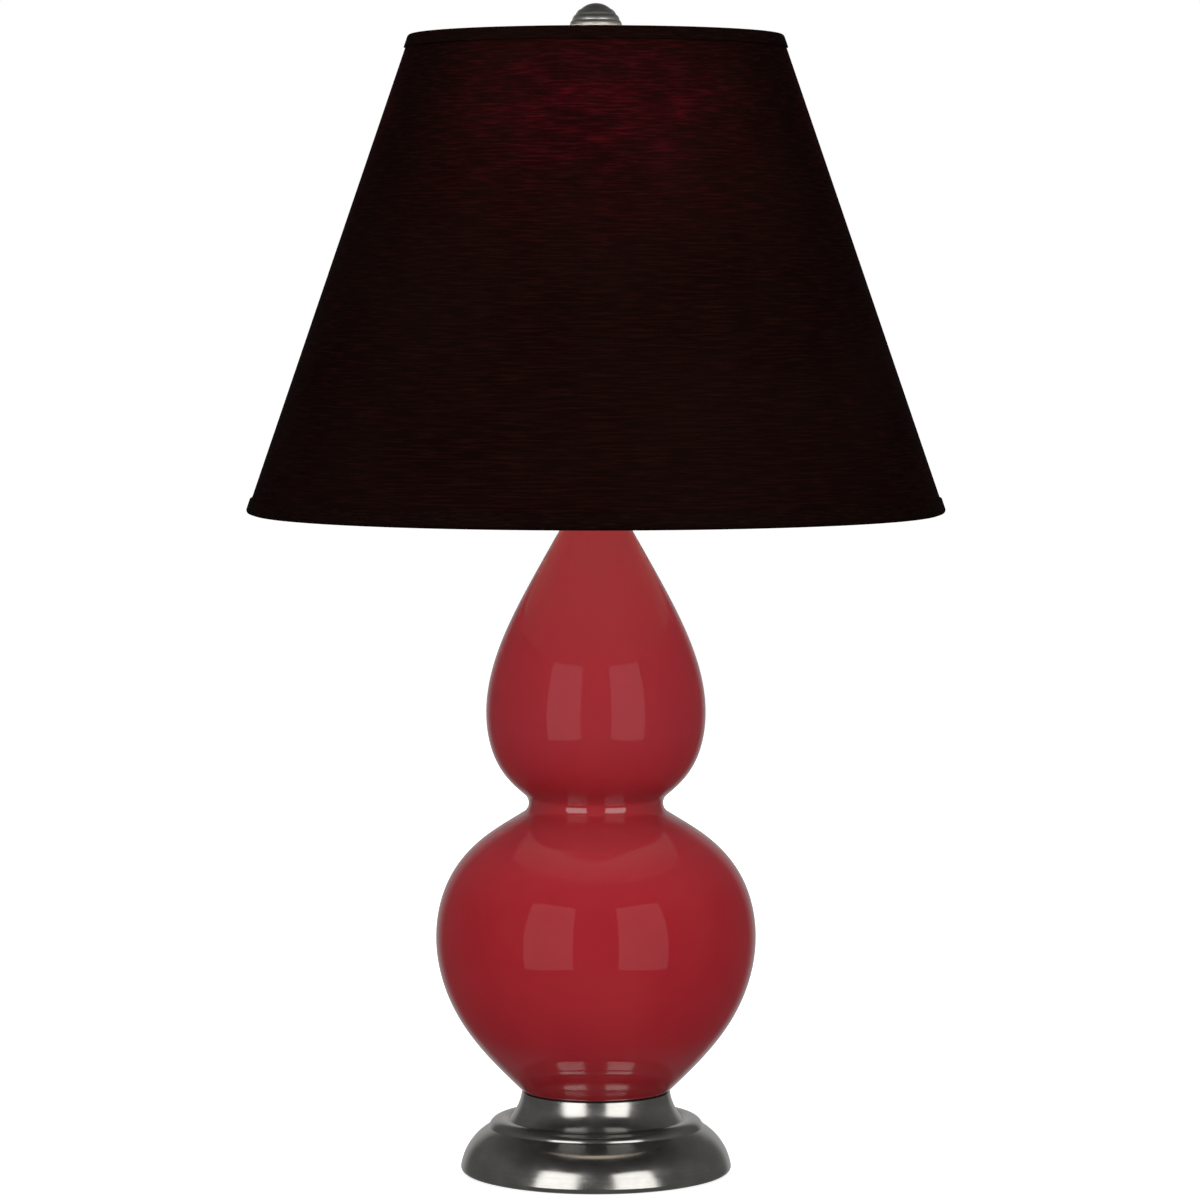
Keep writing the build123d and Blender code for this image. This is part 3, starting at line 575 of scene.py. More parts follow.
@dataclass(frozen=True)
class GlossGlaze(Finish):
    """Deep red gloss glaze on slip-cast earthenware.

    The glaze is a coloured glass, so its surface is smooth with a faint orange peel where it
    flowed. A paler tone on the upper lobe and the shoulder under the waist is a painted
    reflection of the lit shade lining. The hollow between the lobes is painted a lighter red,
    painted light against its shade, and there and at the foot the glaze stands thick and is most
    glossy. To glossy rays the body is a neutral dark grey, a painted reflection in place of its red.
    """

    colour: str = "#9c222b"
    thin: str = "#a0282f"
    # painted reflection of the lit shade lining
    painted_lining_reflection: str = "#a02d35"
    # painted light: a lighter red in the waist's hollow, against its shade
    painted_hollow_light: str = "#a8262e"
    painted_reflection_grey: str = "#4a4947"           # painted reflection: glossy rays see the body as this neutral dark grey
    cloud: Size = (45.0, 45.0, 60.0)    # patches where the dipped glaze lies thicker or thinner
    shoulder: Span = (138.0, 166.0)     # heights where the painted lining reflection starts and is full
    # heights where the painted lining reflection ends under the waist and grows on the upper lobe
    shoulder_top: Span = (178.0, 182.0)
    upper_lobe: Span = (200.0, 222.0)
    waist_height: float = 183.8
    waist: Span = (4.05, 9.0)           # way up or down from there in which the painted light and the high gloss end
    foot: Span = (52.0, 72.0)           # heights between which the high gloss fades
    gloss: Span = (0.13, 1.0)           # specular level of the thin and the thick glaze
    peel_pitch: float = 5.0
    peel_depth: float = 0.012

    def pattern(self, tree: Tree) -> Inputs:
        """Mix its tones with painted reflection and light, set its gloss by its depth, add its orange
        peel.

        Args:
            tree: The material's tree.

        Returns:
            What goes into the shader's inputs.
        """
        height = object_axes(tree)[2]
        middle = self.waist_height * MM
        away = add_node(tree, "ShaderNodeMath", {0: height, 1: middle}, operation="SUBTRACT")
        away = add_node(tree, "ShaderNodeMath", {0: away}, operation="ABSOLUTE")
        waist = add_node(tree, "ShaderNodeMapRange", {0: away, **between(self.waist), 3: 1.0, 4: 0.0})
        foot = add_node(tree, "ShaderNodeMapRange", {0: height, **between(self.foot), 3: 1.0, 4: 0.0})
        low = add_node(tree, "ShaderNodeMapRange", {0: height, **between(self.shoulder)})
        end = add_node(tree, "ShaderNodeMapRange", {0: height, **between(self.shoulder_top)})
        high = add_node(tree, "ShaderNodeMapRange", {0: height, **between(self.upper_lobe)})
        # painted reflection of the lit shade lining: a band under the waist, and the upper lobe
        lining_reflection_share = add_node(tree, "ShaderNodeMath", {0: low, 1: end}, operation="SUBTRACT")
        lining_reflection_share = add_node(tree, "ShaderNodeMath", {0: lining_reflection_share, 1: high}, operation="MAXIMUM")
        cloud = grain(tree, self.cloud, detail=3.0)
        cloud = add_node(tree, "ShaderNodeMapRange", {0: cloud, 1: 0.35, 2: 0.65})
        # painted reflection: to glossy rays the body turns a neutral dark grey
        mirrored = add_node(tree, "ShaderNodeLightPath").outputs["Is Glossy Ray"]
        # random patches, the painted lining reflection, painted light in the hollow, and the painted grey
        # seen by glossy rays
        glaze: Any = linear(self.colour)
        for share, tone in ((cloud, self.thin), (lining_reflection_share, self.painted_lining_reflection), (waist, self.painted_hollow_light),
                            (mirrored, self.painted_reflection_grey)):
            glaze = add_node(tree, "ShaderNodeMix", {0: share, 6: glaze, 7: linear(tone)},
                             data_type="RGBA")
        thick = add_node(tree, "ShaderNodeMath", {0: waist, 1: foot}, operation="MAXIMUM")
        gloss = add_node(tree, "ShaderNodeMapRange", {0: thick, 3: self.gloss[0], 4: self.gloss[1]})
        peel = grain(tree, (self.peel_pitch,) * 3, detail=1.0, offset=0.3)
        bump = add_node(tree, "ShaderNodeBump", {"Height": peel, "Distance": self.peel_depth * MM})
        return {"Base Color": glaze, "Specular IOR Level": gloss, "Normal": bump}


@dataclass(frozen=True)
class SpunMetal(Finish):
    """Plated sheet metal, spun on a lathe and rubbed to a satin.

    The rubbing leaves fine lines round the axis, which stretch each reflection across them.
    """

    colour: str = "#cfcdc8"
    dark: str = "#a3a19c"
    line_spacing: float = 0.45      # real lines are about 0.05 mm apart, drawn coarser so they show
    line_depth: float = 0.006
    cloud: Size = (14.0, 14.0, 9.0)
    spread: Span = (-0.05, 0.06)    # how far the roughness goes down and up
    stretch: float = 0.35

    def pattern(self, tree: Tree) -> Inputs:
        """Draw the lathe lines in colour, roughness and height.

        Args:
            tree: The material's tree.

        Returns:
            What goes into the shader's inputs.
        """
        lines = grain(tree, (self.line_spacing, 1.0, self.line_spacing), detail=4.0, rough=0.65,
                      source=turning_coordinates(tree))
        cloud = grain(tree, self.cloud, detail=3.0, offset=0.7)
        cloud = add_node(tree, "ShaderNodeMapRange", {0: cloud, 1: 0.3, 2: 0.7})
        both = add_node(tree, "ShaderNodeMath", {0: lines, 1: cloud}, operation="ADD")
        share = add_node(tree, "ShaderNodeMath", {0: both, 1: 0.5}, operation="MULTIPLY")
        colour = add_node(tree, "ShaderNodeMix", {
            0: share, 6: linear(self.dark), 7: linear(self.colour)}, data_type="RGBA")
        low, high = (self.roughness + change for change in self.spread)
        rough = add_node(tree, "ShaderNodeMapRange", {0: share, 1: 0.2, 2: 0.8, 3: low, 4: high})
        tangent = add_node(tree, "ShaderNodeTangent", direction_type="RADIAL", axis="Z")
        bump = add_node(tree, "ShaderNodeBump", {"Height": lines, "Distance": self.line_depth * MM})
        return {"Base Color": colour, "Roughness": rough, "Anisotropic": self.stretch,
                "Tangent": tangent, "Normal": bump}


@dataclass(frozen=True)
class PlatedMetal(Finish):
    """Drawn, stamped or rolled metal, bright or plated, with faint drawing marks and dull patches."""

    colour: str = "#c9c6bf"
    dull: str = "#b3b0a9"
    patch: float = 6.0
    spread: float = 0.06            # how much rougher the dull patches are
    mark: float = 0.5
    mark_stretch: float = 8.0
    mark_depth: float = 0.003

    def pattern(self, tree: Tree) -> Inputs:
        """Mix the bright metal with its dull patches and add the marks.

        Args:
            tree: The material's tree.

        Returns:
            What goes into the shader's inputs.
        """
        patches = grain(tree, (self.patch,) * 3, detail=4.0, rough=0.6)
        patches = add_node(tree, "ShaderNodeMapRange", {0: patches, 1: 0.35, 2: 0.7})
        colour = add_node(tree, "ShaderNodeMix", {
            0: patches, 6: linear(self.colour), 7: linear(self.dull)}, data_type="RGBA")
        rough = add_node(tree, "ShaderNodeMapRange", {
            0: patches, 3: self.roughness, 4: self.roughness + self.spread})
        marks = grain(tree, (self.mark, self.mark, self.mark * self.mark_stretch), detail=2.0)
        bump = add_node(tree, "ShaderNodeBump", {"Height": marks, "Distance": self.mark_depth * MM})
        return {"Base Color": colour, "Roughness": rough, "Normal": bump}


@dataclass(frozen=True)
class GrainySolid(Finish):
    """A solid material with a fine surface grain: moulded plastic, rubber, card, iron or styrene."""

    colour: str = "#1c1c1c"
    other: str = "#242424"
    patch: float = 8.0
    pitch: float = 0.4
    depth: float = 0.03
    spread: Span = (-0.06, 0.08)    # how far the roughness goes down and up

    def pattern(self, tree: Tree) -> Inputs:
        """Vary the colour slowly, and the height and the roughness at the pitch of the grain.

        Args:
            tree: The material's tree.

        Returns:
            What goes into the shader's inputs.
        """
        patches = grain(tree, (self.patch,) * 3, detail=3.0, rough=0.6)
        colour = add_node(tree, "ShaderNodeMix", {
            0: patches, 6: linear(self.colour), 7: linear(self.other)}, data_type="RGBA")
        fine = grain(tree, (self.pitch,) * 3, detail=2.0, rough=0.6, offset=0.4)
        low, high = (self.roughness + change for change in self.spread)
        rough = add_node(tree, "ShaderNodeMapRange", {0: fine, 1: 0.25, 2: 0.75, 3: low, 4: high})
        bump = add_node(tree, "ShaderNodeBump", {"Height": fine, "Distance": self.depth * MM})
        return {"Base Color": colour, "Roughness": rough, "Normal": bump}


@dataclass(frozen=True)
class FrostedGlass(Finish):
    """The bulb's envelope: soda glass, etched white inside, with the bulb alight at a low level."""

    colour: str = "#f6f1e6"
    light: str = "#eef1ff"
    strength: float = 14.0
    seen: float = 0.34              # the glow as the camera sees it, with painted shade at its sides so that its round form shows
    frost: float = 1.2              # the etching is far finer, drawn coarser so that it shows
    neck: Span = (405.0, 445.0)     # heights between which the glow grows to its full level
    neck_glow: float = 0.35

    def pattern(self, tree: Tree) -> Inputs:
        """Make the etched envelope glow, a little less at its neck, and to the camera less at its sides
        as painted shade.

        Args:
            tree: The material's tree.

        Returns:
            What goes into the shader's inputs.
        """
        height = object_axes(tree)[2]
        frost = grain(tree, (self.frost,) * 3, detail=2.0)
        frost = add_node(tree, "ShaderNodeMapRange", {0: frost, 1: 0.3, 2: 0.7, 3: 0.92, 4: 1.0})
        glow = add_node(tree, "ShaderNodeMapRange", {0: height, **between(self.neck), 3: self.neck_glow})
        even = add_node(tree, "ShaderNodeMath", {0: frost, 1: glow}, operation="MULTIPLY")
        lit = add_node(tree, "ShaderNodeMath", {0: even, 1: self.strength}, operation="MULTIPLY")
        # painted shade: to the camera the glow falls off towards the envelope's sides
        side = add_node(tree, "ShaderNodeLayerWeight", {"Blend": 0.5}).outputs["Facing"]
        painted_edge_shade = add_node(tree, "ShaderNodeMapRange", {0: side, 3: self.seen, 4: 0.0})
        shown = add_node(tree, "ShaderNodeMath", {0: glow, 1: painted_edge_shade}, operation="MULTIPLY")
        seen = add_node(tree, "ShaderNodeLightPath").outputs["Is Camera Ray"]
        change = add_node(tree, "ShaderNodeMath", {0: shown, 1: lit}, operation="SUBTRACT")
        change = add_node(tree, "ShaderNodeMath", {0: seen, 1: change}, operation="MULTIPLY")
        level = add_node(tree, "ShaderNodeMath", {0: lit, 1: change}, operation="ADD")
        return {"Base Color": linear(self.colour), "Emission Color": linear(self.light),
                "Emission Strength": level}


@dataclass(frozen=True)
class SlubCloth(Finish):
    """Near-black slub-weave cloth, laminated to the shade's lining.

    The weft yarns run round the shade and swell into slubs that catch the light. The bulb's light
    through the thinner yarns is painted in as a faint dark red glow of the cloth's own, most in
    the upper part of the shade and between its three spokes.
    """

    colour: str = "#100504"
    slub: str = "#200c09"
    worn: str = "#130806"
    # painted light: colour of the cloth's glow, which stands in for the bulb's light through it
    glow: str = "#3a000a"
    cloud: float = 60.0             # patches where the cloth is a little worn
    weft_pitch: float = 1.05        # real yarns are about 0.4 mm apart, drawn coarser so they show
    slub_length: float = 17.0
    warp_pitch: float = 0.9
    weft_share: float = 0.7         # of the weave's height, with the rest for the warp
    relief: float = 0.22
    shine: float = 0.01
    painted_glow_height: float = 527.0
    painted_glow_reach: float = 95.0
    painted_glow_patch: Size = (22.0, 22.0, 9.0)
    painted_glow_strength: float = 1.0

    def weave(self, tree: Tree) -> tuple[Node, Node]:
        """Draw the weft with its slubs and the warp, on the piece's own UV map.

        Args:
            tree: The material's tree.

        Returns:
            The slubs and the whole weave, both from 0 to 1.
        """
        flat = add_node(tree, "ShaderNodeUVMap", uv_map="surface")
        weft = grain(tree, (self.slub_length, self.weft_pitch, 1.0), detail=3.0, rough=0.6, source=flat)
        warp = grain(tree, (self.warp_pitch, self.slub_length, 1.0), detail=2.0, source=flat,
                     offset=0.37)
        slubs = add_node(tree, "ShaderNodeMapRange", {0: weft, 1: 0.46, 2: 0.74})
        weft = add_node(tree, "ShaderNodeMath", {0: weft, 1: self.weft_share}, operation="MULTIPLY")
        warp = add_node(tree, "ShaderNodeMath", {0: warp, 1: 1 - self.weft_share}, operation="MULTIPLY")
        return slubs, add_node(tree, "ShaderNodeMath", {0: weft, 1: warp}, operation="ADD")

    def pattern(self, tree: Tree) -> Inputs:
        """Colour the yarns, raise them, and paint in the bulb's light through the thin ones as a glow.

        Args:
            tree: The material's tree.

        Returns:
            What goes into the shader's inputs.
        """
        slubs, whole = self.weave(tree)
        cloud = grain(tree, (self.cloud,) * 3, detail=2.0)
        cloud = add_node(tree, "ShaderNodeMapRange", {0: cloud, 1: 0.35, 2: 0.65})
        colour: Any = linear(self.colour)
        for share, tone in ((cloud, self.worn), (slubs, self.slub)):
            colour = add_node(tree, "ShaderNodeMix", {0: share, 6: colour, 7: linear(tone)},
                              data_type="RGBA")
        bump = add_node(tree, "ShaderNodeBump", {"Height": whole, "Distance": self.relief * MM})
        inputs: Inputs = {"Base Color": colour, "Normal": bump, "Specular IOR Level": self.shine}
        # painted light: the cloth glows where the bulb's light would come through it
        if self.painted_glow_strength > 0:
            inputs["Emission Color"] = linear(self.glow)
            inputs["Emission Strength"] = self.painted_light_through(tree, slubs)
        return inputs

    def painted_light_through(self, tree: Tree, slubs: Node) -> Node:
        """Work out how bright the painted glow is at each place, standing in for the light through.

        It falls off with height above and below the glow, and round the axis as the square of the
        cosine of one and a half times the angle from the front.

        Args:
            tree: The material's tree.
            slubs: The slubs, from 0 to 1.

        Returns:
            The strength of the painted glow.
        """
        x, y, z = object_axes(tree)
        away = add_node(tree, "ShaderNodeMath", {0: z, 1: self.painted_glow_height * MM}, operation="SUBTRACT")
        away = add_node(tree, "ShaderNodeMath", {0: away}, operation="ABSOLUTE")
        height = add_node(tree, "ShaderNodeMapRange", {
            0: away, **between((0.0, self.painted_glow_reach)), 3: 1.0, 4: 0.0})
        front = add_node(tree, "ShaderNodeMath", {0: y, 1: -1.0}, operation="MULTIPLY")
        angle = add_node(tree, "ShaderNodeMath", {0: x, 1: front}, operation="ARCTAN2")
        angle = add_node(tree, "ShaderNodeMath", {0: angle, 1: 1.5}, operation="MULTIPLY")
        lobe = add_node(tree, "ShaderNodeMath", {0: angle}, operation="COSINE")
        height, lobe = (add_node(tree, "ShaderNodeMath", {0: part, 1: part}, operation="MULTIPLY")
                        for part in (height, lobe))
        patch = grain(tree, self.painted_glow_patch, detail=3.0, rough=0.6, offset=0.9)
        patch = add_node(tree, "ShaderNodeMapRange", {0: patch, 1: 0.3, 2: 0.75, 3: 0.25, 4: 1.3})
        yarn = add_node(tree, "ShaderNodeMapRange", {0: slubs, 3: 0.45, 4: 1.75})
        glow = add_node(tree, "ShaderNodeMath", {0: height, 1: lobe}, operation="MULTIPLY")
        cover = add_node(tree, "ShaderNodeMath", {0: patch, 1: yarn}, operation="MULTIPLY")
        level = add_node(tree, "ShaderNodeMath", {0: glow, 1: cover}, operation="MULTIPLY")
        return add_node(tree, "ShaderNodeMath", {0: level, 1: self.painted_glow_strength}, operation="MULTIPLY")


@dataclass(frozen=True)
class WoolFelt(Finish):
    """Pressed wool felt: matted fibres with no weave."""

    colour: str = "#20241f"
    fibre: str = "#383e36"
    fibre_length: float = 3.0
    fibre_width: float = 0.35       # real fibres are about 0.03 mm thick, drawn coarser so they show
    relief: float = 0.12
    sheen: float = 0.3

    def pattern(self, tree: Tree) -> Inputs:
        """Mat the fibres, some lying one way and some across them.

        Args:
            tree: The material's tree.

        Returns:
            What goes into the shader's inputs.
        """
        long_way = grain(tree, (self.fibre_length, self.fibre_width, 1.0), detail=3.0, rough=0.7)
        cross_way = grain(tree, (self.fibre_width, self.fibre_length, 1.0), detail=3.0, rough=0.7,
                          offset=0.5)
        fibres = add_node(tree, "ShaderNodeMath", {0: long_way, 1: cross_way}, operation="MAXIMUM")
        share = add_node(tree, "ShaderNodeMapRange", {0: fibres, 1: 0.45, 2: 0.8})
        colour = add_node(tree, "ShaderNodeMix", {
            0: share, 6: linear(self.colour), 7: linear(self.fibre)}, data_type="RGBA")
        bump = add_node(tree, "ShaderNodeBump", {"Height": fibres, "Distance": self.relief * MM})
        return {"Base Color": colour, "Normal": bump, "Sheen Weight": self.sheen}


# glazed and fired: a deep, wet-looking red that mirrors the soft boxes faintly
RED_GLAZE = GlossGlaze("red_gloss_glaze_on_earthenware", roughness=0.045)
# spun, plated and rubbed round: dark, with highlights drawn across the lathe lines
SATIN_NICKEL = SpunMetal("satin_nickel_plate_on_spun_steel", roughness=0.16, metallic=1.0)
# turned, plated and brushed: paler, with a soft sheen and no clear reflection
TURNED_NICKEL = SpunMetal("satin_nickel_plate_on_turned_brass", roughness=0.42, metallic=1.0,
                          colour="#dedcd7", dark="#c6c4bf", stretch=0.3)
# drawn and plated: bright, with highlights that run along the wire
WIRE_NICKEL = PlatedMetal("nickel_plate_on_drawn_steel_wire", roughness=0.24, metallic=1.0)
# stamped and plated: bright, with broad and slightly blurred highlights
HOLDER_NICKEL = PlatedMetal("nickel_plate_on_stamped_brass_shell", roughness=0.22, metallic=1.0)
# zinc plate: a cloudy bluish grey
ZINC = PlatedMetal("bright_zinc_plate_on_steel", roughness=0.34, metallic=1.0, colour="#b4b7ba",
                   dull="#8f9294", patch=3.0)
# bare off the lathe: warm yellow, dulled in small patches
BRASS = PlatedMetal("bare_turned_brass", roughness=0.3, metallic=1.0, colour="#c99a4e",
                    dull="#9c7437", patch=2.0)
# rolled thin: pale and a little milky
ALUMINIUM = PlatedMetal("rolled_aluminium_screw_shell", roughness=0.3, metallic=1.0,
                        colour="#d6d7d8", dull="#b3b5b6", patch=3.0)
# melted and set: dull grey in a smooth drop
SOLDER = PlatedMetal("tin_solder_button", roughness=0.38, metallic=1.0, colour="#a9abad",
                     dull="#86888a", patch=1.5)
# cast in sand and dipped: matt black with a pebbled skin
IRON = GrainySolid("black_dipped_cast_iron", roughness=0.62, colour="#23211f", other="#312d29",
                   patch=9.0, pitch=0.9, depth=0.18)
# moulded: near black with a silky sheen
BLACK_PLASTIC = GrainySolid("black_moulded_nylon", roughness=0.42, colour="#141414", other="#1b1b1b",
                            pitch=0.5, depth=0.02)
# moulded hot: brown-black and a little smoother than the nylon
PHENOLIC = GrainySolid("black_moulded_phenolic", roughness=0.36, colour="#17130f", other="#211b15",
                       patch=3.0, pitch=0.5, depth=0.015)
# cut from sheet: grey-black and matt
RUBBER = GrainySolid("die_cut_sheet_rubber", roughness=0.8, colour="#1a1a1a", other="#232323",
                     pitch=0.6, depth=0.04)
# pressed: tan and fibrous, with no shine
CARD = GrainySolid("pressed_insulating_card", roughness=0.85, colour="#8d7b62", other="#a28e72",
                   patch=5.0, pitch=0.35, depth=0.05)
# pressed: black with sharp reflections
BLACK_GLASS = GrainySolid("black_pressed_glass_insulator", roughness=0.12, ior=1.52,
                          colour="#0c0c10", other="#111116", patch=3.0, pitch=1.5, depth=0.01)
# calendered sheet: off-white with a faint paper-like grain
LINING = GrainySolid("white_styrene_shade_lining", roughness=0.55, colour="#e9e0d0",
                     other="#dfd5c2", patch=40.0, pitch=1.6, depth=0.03)
# etched: white and evenly bright
FROSTED = FrostedGlass("frosted_soda_glass_envelope", roughness=0.42)
# woven from uneven yarn: near black, matt, with thicker threads that catch the light, and a painted glow
# where the lit bulb shines through
CLOTH = SlubCloth("black_slub_cloth", roughness=0.85)
# the same cloth in a finer weave, with no painted glow
TAPE = SlubCloth("black_slub_cloth_tape", roughness=0.85, colour="#0f0504", slub="#1d0f0c",
                 worn="#120806", weft_pitch=0.8, slub_length=9.0, painted_glow_strength=0.0)
# pressed: dark grey-green and fuzzy
FELT = WoolFelt("pressed_wool_felt", roughness=0.95)


# ------------------------------------------------------------------ sub-assemblies
def placed(piece: bpy.types.Object, finish: Finish, body: str,
           node: str = "") -> bpy.types.Object:
    """Finish a piece, let it ride on a body, and put it in place of its CAD node.

    Args:
        piece: The piece, in place.
        finish: Its finish.
        body: The body that carries it.
        node: The CAD node that it stands for, or nothing for an extra piece.

    Returns:
        The piece.
    """
    finish.on(piece)
    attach(piece, body)
    if node:
        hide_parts(node)
    return piece


def soften_nodes(finish: Finish, body: str,
                 widths: dict[str, float]) -> list[bpy.types.Object]:
    """Put copies with rounded edges in place of CAD nodes of one body and one material.

    Args:
        finish: Their finish.
        body: The body that carries them.
        widths: Width of the rounding in millimetres, by the node's name.

    Returns:
        The new pieces.
    """
    return [placed(softened(node, width), finish, body, node) for node, width in widths.items()]


def dress_nodes(finishes: dict[str, Finish]) -> list[bpy.types.Object]:
    """Give CAD nodes their finishes.

    Args:
        finishes: The finish of each node, by the node's name.

    Returns:
        The nodes' objects.
    """
    return [finish.on(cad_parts[name]) for name, finish in finishes.items()]


@dataclass
class Foot:
    """The spun metal foot, its felt, its weight and the inlet for the cord."""

    height: float = 40.5
    wall: float = 1.2
    hole_radius: float = 4.85
    neck_radius: float = 36.8
    neck_round: float = 24.0
    neck_edge: float = 0.8
    bead_foot: tuple[float, float] = (43.6, 26.4)       # radius and height
    bead_root: float = 0.4
    bead_round: float = 6.2
    crease: tuple[float, float] = (53.3, 23.1)
    crease_round: float = 0.3
    dome_round: float = 27.5
    radius: float = 67.1
    widest_height: float = 3.6
    rim_radius: float = 65.0
    rim_lift: float = 0.6
    rim_bulge: float = 0.8
    felt_thickness: float = 2.0
    felt_margin: float = 0.5
    felt_edges: tuple[float, float] = (0.5, 0.7)        # rounding of the lower and the upper edge
    inlet_height: float = 9.0
    inlet_radius: float = 4.6
    inlet_drill: tuple[float, float] = (40.0, 80.0)     # radii between which the drill goes

    @property
    def felt_radius(self) -> float:
        """Radius of the felt, which lies just inside the rolled rim."""
        return self.rim_radius - self.wall - self.felt_margin

    def outline(self) -> Points:
        """Draw the outside of the metal from the middle of its top down to its rolled rim.

        Returns:
            The (radius, height) points.
        """
        shoulder = (self.neck_radius, self.height)
        neck = arc(shoulder, self.bead_foot, self.neck_round, Side.LEFT, steps=20)
        bead = arc(self.bead_foot, self.crease, self.bead_round, Side.RIGHT, steps=16)
        dome = arc(self.crease, (self.radius, self.widest_height), self.dome_round, Side.RIGHT, steps=36)
        rim = bulged(dome[-1], (self.rim_radius, self.rim_lift), self.rim_bulge, Side.RIGHT, steps=8)
        top = rounded([(self.hole_radius, self.height), shoulder, neck[2]], [self.neck_edge])
        root = rounded([neck[-2], self.bead_foot, bead[1]], [self.bead_root], steps=4)
        groove = rounded([bead[-2], self.crease, dome[1]], [self.crease_round], steps=4)
        return joined(top, neck[3:-2], root, bead[1:-1], groove, dome[1:], rim)

    def shell(self) -> bpy.types.Object:
        """Turn the metal's section and cut the hole for the cord's bushing.

        Returns:
            The shell.
        """
        outside = self.outline()
        inside = moved_in(outside, -self.wall)[::-1]
        piece = turned("foot_shell", joined(outside, inside), columns=240)
        start, end = ((0.0, way, self.inlet_height) for way in self.inlet_drill)
        return sharpened(drilled(piece, start, end, self.inlet_radius))

    def felt(self) -> bpy.types.Object:
        """Turn the felt disc, with soft edges.

        Returns:
            The disc.
        """
        reach, top = self.felt_radius, self.felt_thickness
        section = rounded([(0, 0), (reach, 0), (reach, top), (0, top)], self.felt_edges, steps=5)
        steps = np.linspace(0, 1, 24)[1:-1, None]
        under = section[0] + steps * (section[1] - section[0])
        over = section[-2] + steps * (section[-1] - section[-2])
        return turned("felt_disc", joined(section[:1], under, section[1:-1], over, section[-1:]),
                      columns=120, closed=False)

    def build(self) -> list[bpy.types.Object]:
        """Make and dress the foot's pieces.

        Returns:
            The pieces.
        """
        shell = placed(self.shell(), SATIN_NICKEL, "stand", "base_shell")
        felt = placed(self.felt(), FELT, "stand", "felt_pad")
        return [
            shell, felt,
            *soften_nodes(IRON, "stand", {"base_weight": 0.9}),
            *soften_nodes(ZINC, "stand", {"pipe_washer": 0.25, "pipe_nut": 0.45}),
            *dress_nodes({"cord_bushing": BLACK_PLASTIC, "lamp_pipe": ZINC, "foot_gasket": RUBBER})]


@dataclass
class GourdBody:
    """The glazed ceramic body of two lobes."""

    bottom: float = 41.0
    height: float = 288.0
    wall: float = 5.0
    foot_edge: float = 0.8
    mouth_radius: float = 8.0
    mouth_round: float = 1.2
    floor: float = 6.0
    drill_radius: float = 6.25
    waist_blend: float = 5.4
    lower: tuple[tuple[float, float], ...] = ((36.5, 0), (51.5, 15), (69.4, 39), (79.3, 78.1),
                                              (70.8, 109), (56.6, 125), (41.85, 135))
    upper: tuple[tuple[float, float], ...] = ((38.2, 150), (46.4, 159), (54.3, 189.5), (49.7, 215),
                                              (34.4, 249), (12.6, 288))
    foot_slope: float = 1.03
    shoulder_slope: float = -1.62
    underside_slope: float = 1.15
    neck_slope: float = -0.555

    def outline(self) -> Points:
        """Draw the outside from the foot to the mouth, heights from the body's own underside.

        Each lobe is one smooth curve. The straight runs that leave them meet in a notch, where
        the height is the difference of the two lines over the difference of their slopes, and
        one arc blends the notch.

        Returns:
            The (radius, height) points.
        """
        low = smooth_curve(self.lower, (self.foot_slope, 1), (self.shoulder_slope, 1), steps=84)
        high = smooth_curve(self.upper, (self.underside_slope, 1), (self.neck_slope, 1), steps=96)
        (r0, z0), (r1, z1) = self.lower[-1], self.upper[0]
        turn = self.shoulder_slope - self.underside_slope
        rise = (r1 - r0 - self.underside_slope * (z1 - z0)) / turn
        notch = (r0 + self.shoulder_slope * rise, z0 + rise)
        waist = rounded([self.lower[-1], notch, self.upper[0]], [self.waist_blend], steps=14)
        return joined(low, waist, high)

    def section(self) -> Points:
        """Draw the whole closed section: outside, mouth, inside, floor and the drilled hole.

        Returns:
            The (radius, height) points.
        """
        outside = self.outline()
        foot = rounded([(self.drill_radius, 0), outside[0], outside[2]], [self.foot_edge], steps=6)
        inside = moved_in(outside, self.wall)[::-2]
        inside = inside[(inside[:, 0] > self.mouth_radius) & (inside[:, 1] > self.floor)]
        mouth = rounded([outside[-2], outside[-1], (self.mouth_radius, self.height),
                         (self.mouth_radius, inside[0, 1])], [self.mouth_round] * 2, steps=5)
        lines = joined(foot, outside[3:-2], mouth, inside, (inside[-1, 0], self.floor),
                       (self.drill_radius, self.floor))
        return lines + np.array([0.0, self.bottom])

    def build(self) -> list[bpy.types.Object]:
        """Make and glaze the body.

        Returns:
            The body alone.
        """
        piece = sharpened(turned("gourd_ceramic", self.section(), columns=224), degrees=50)
        return [placed(piece, RED_GLAZE, "stand", "gourd_body")]


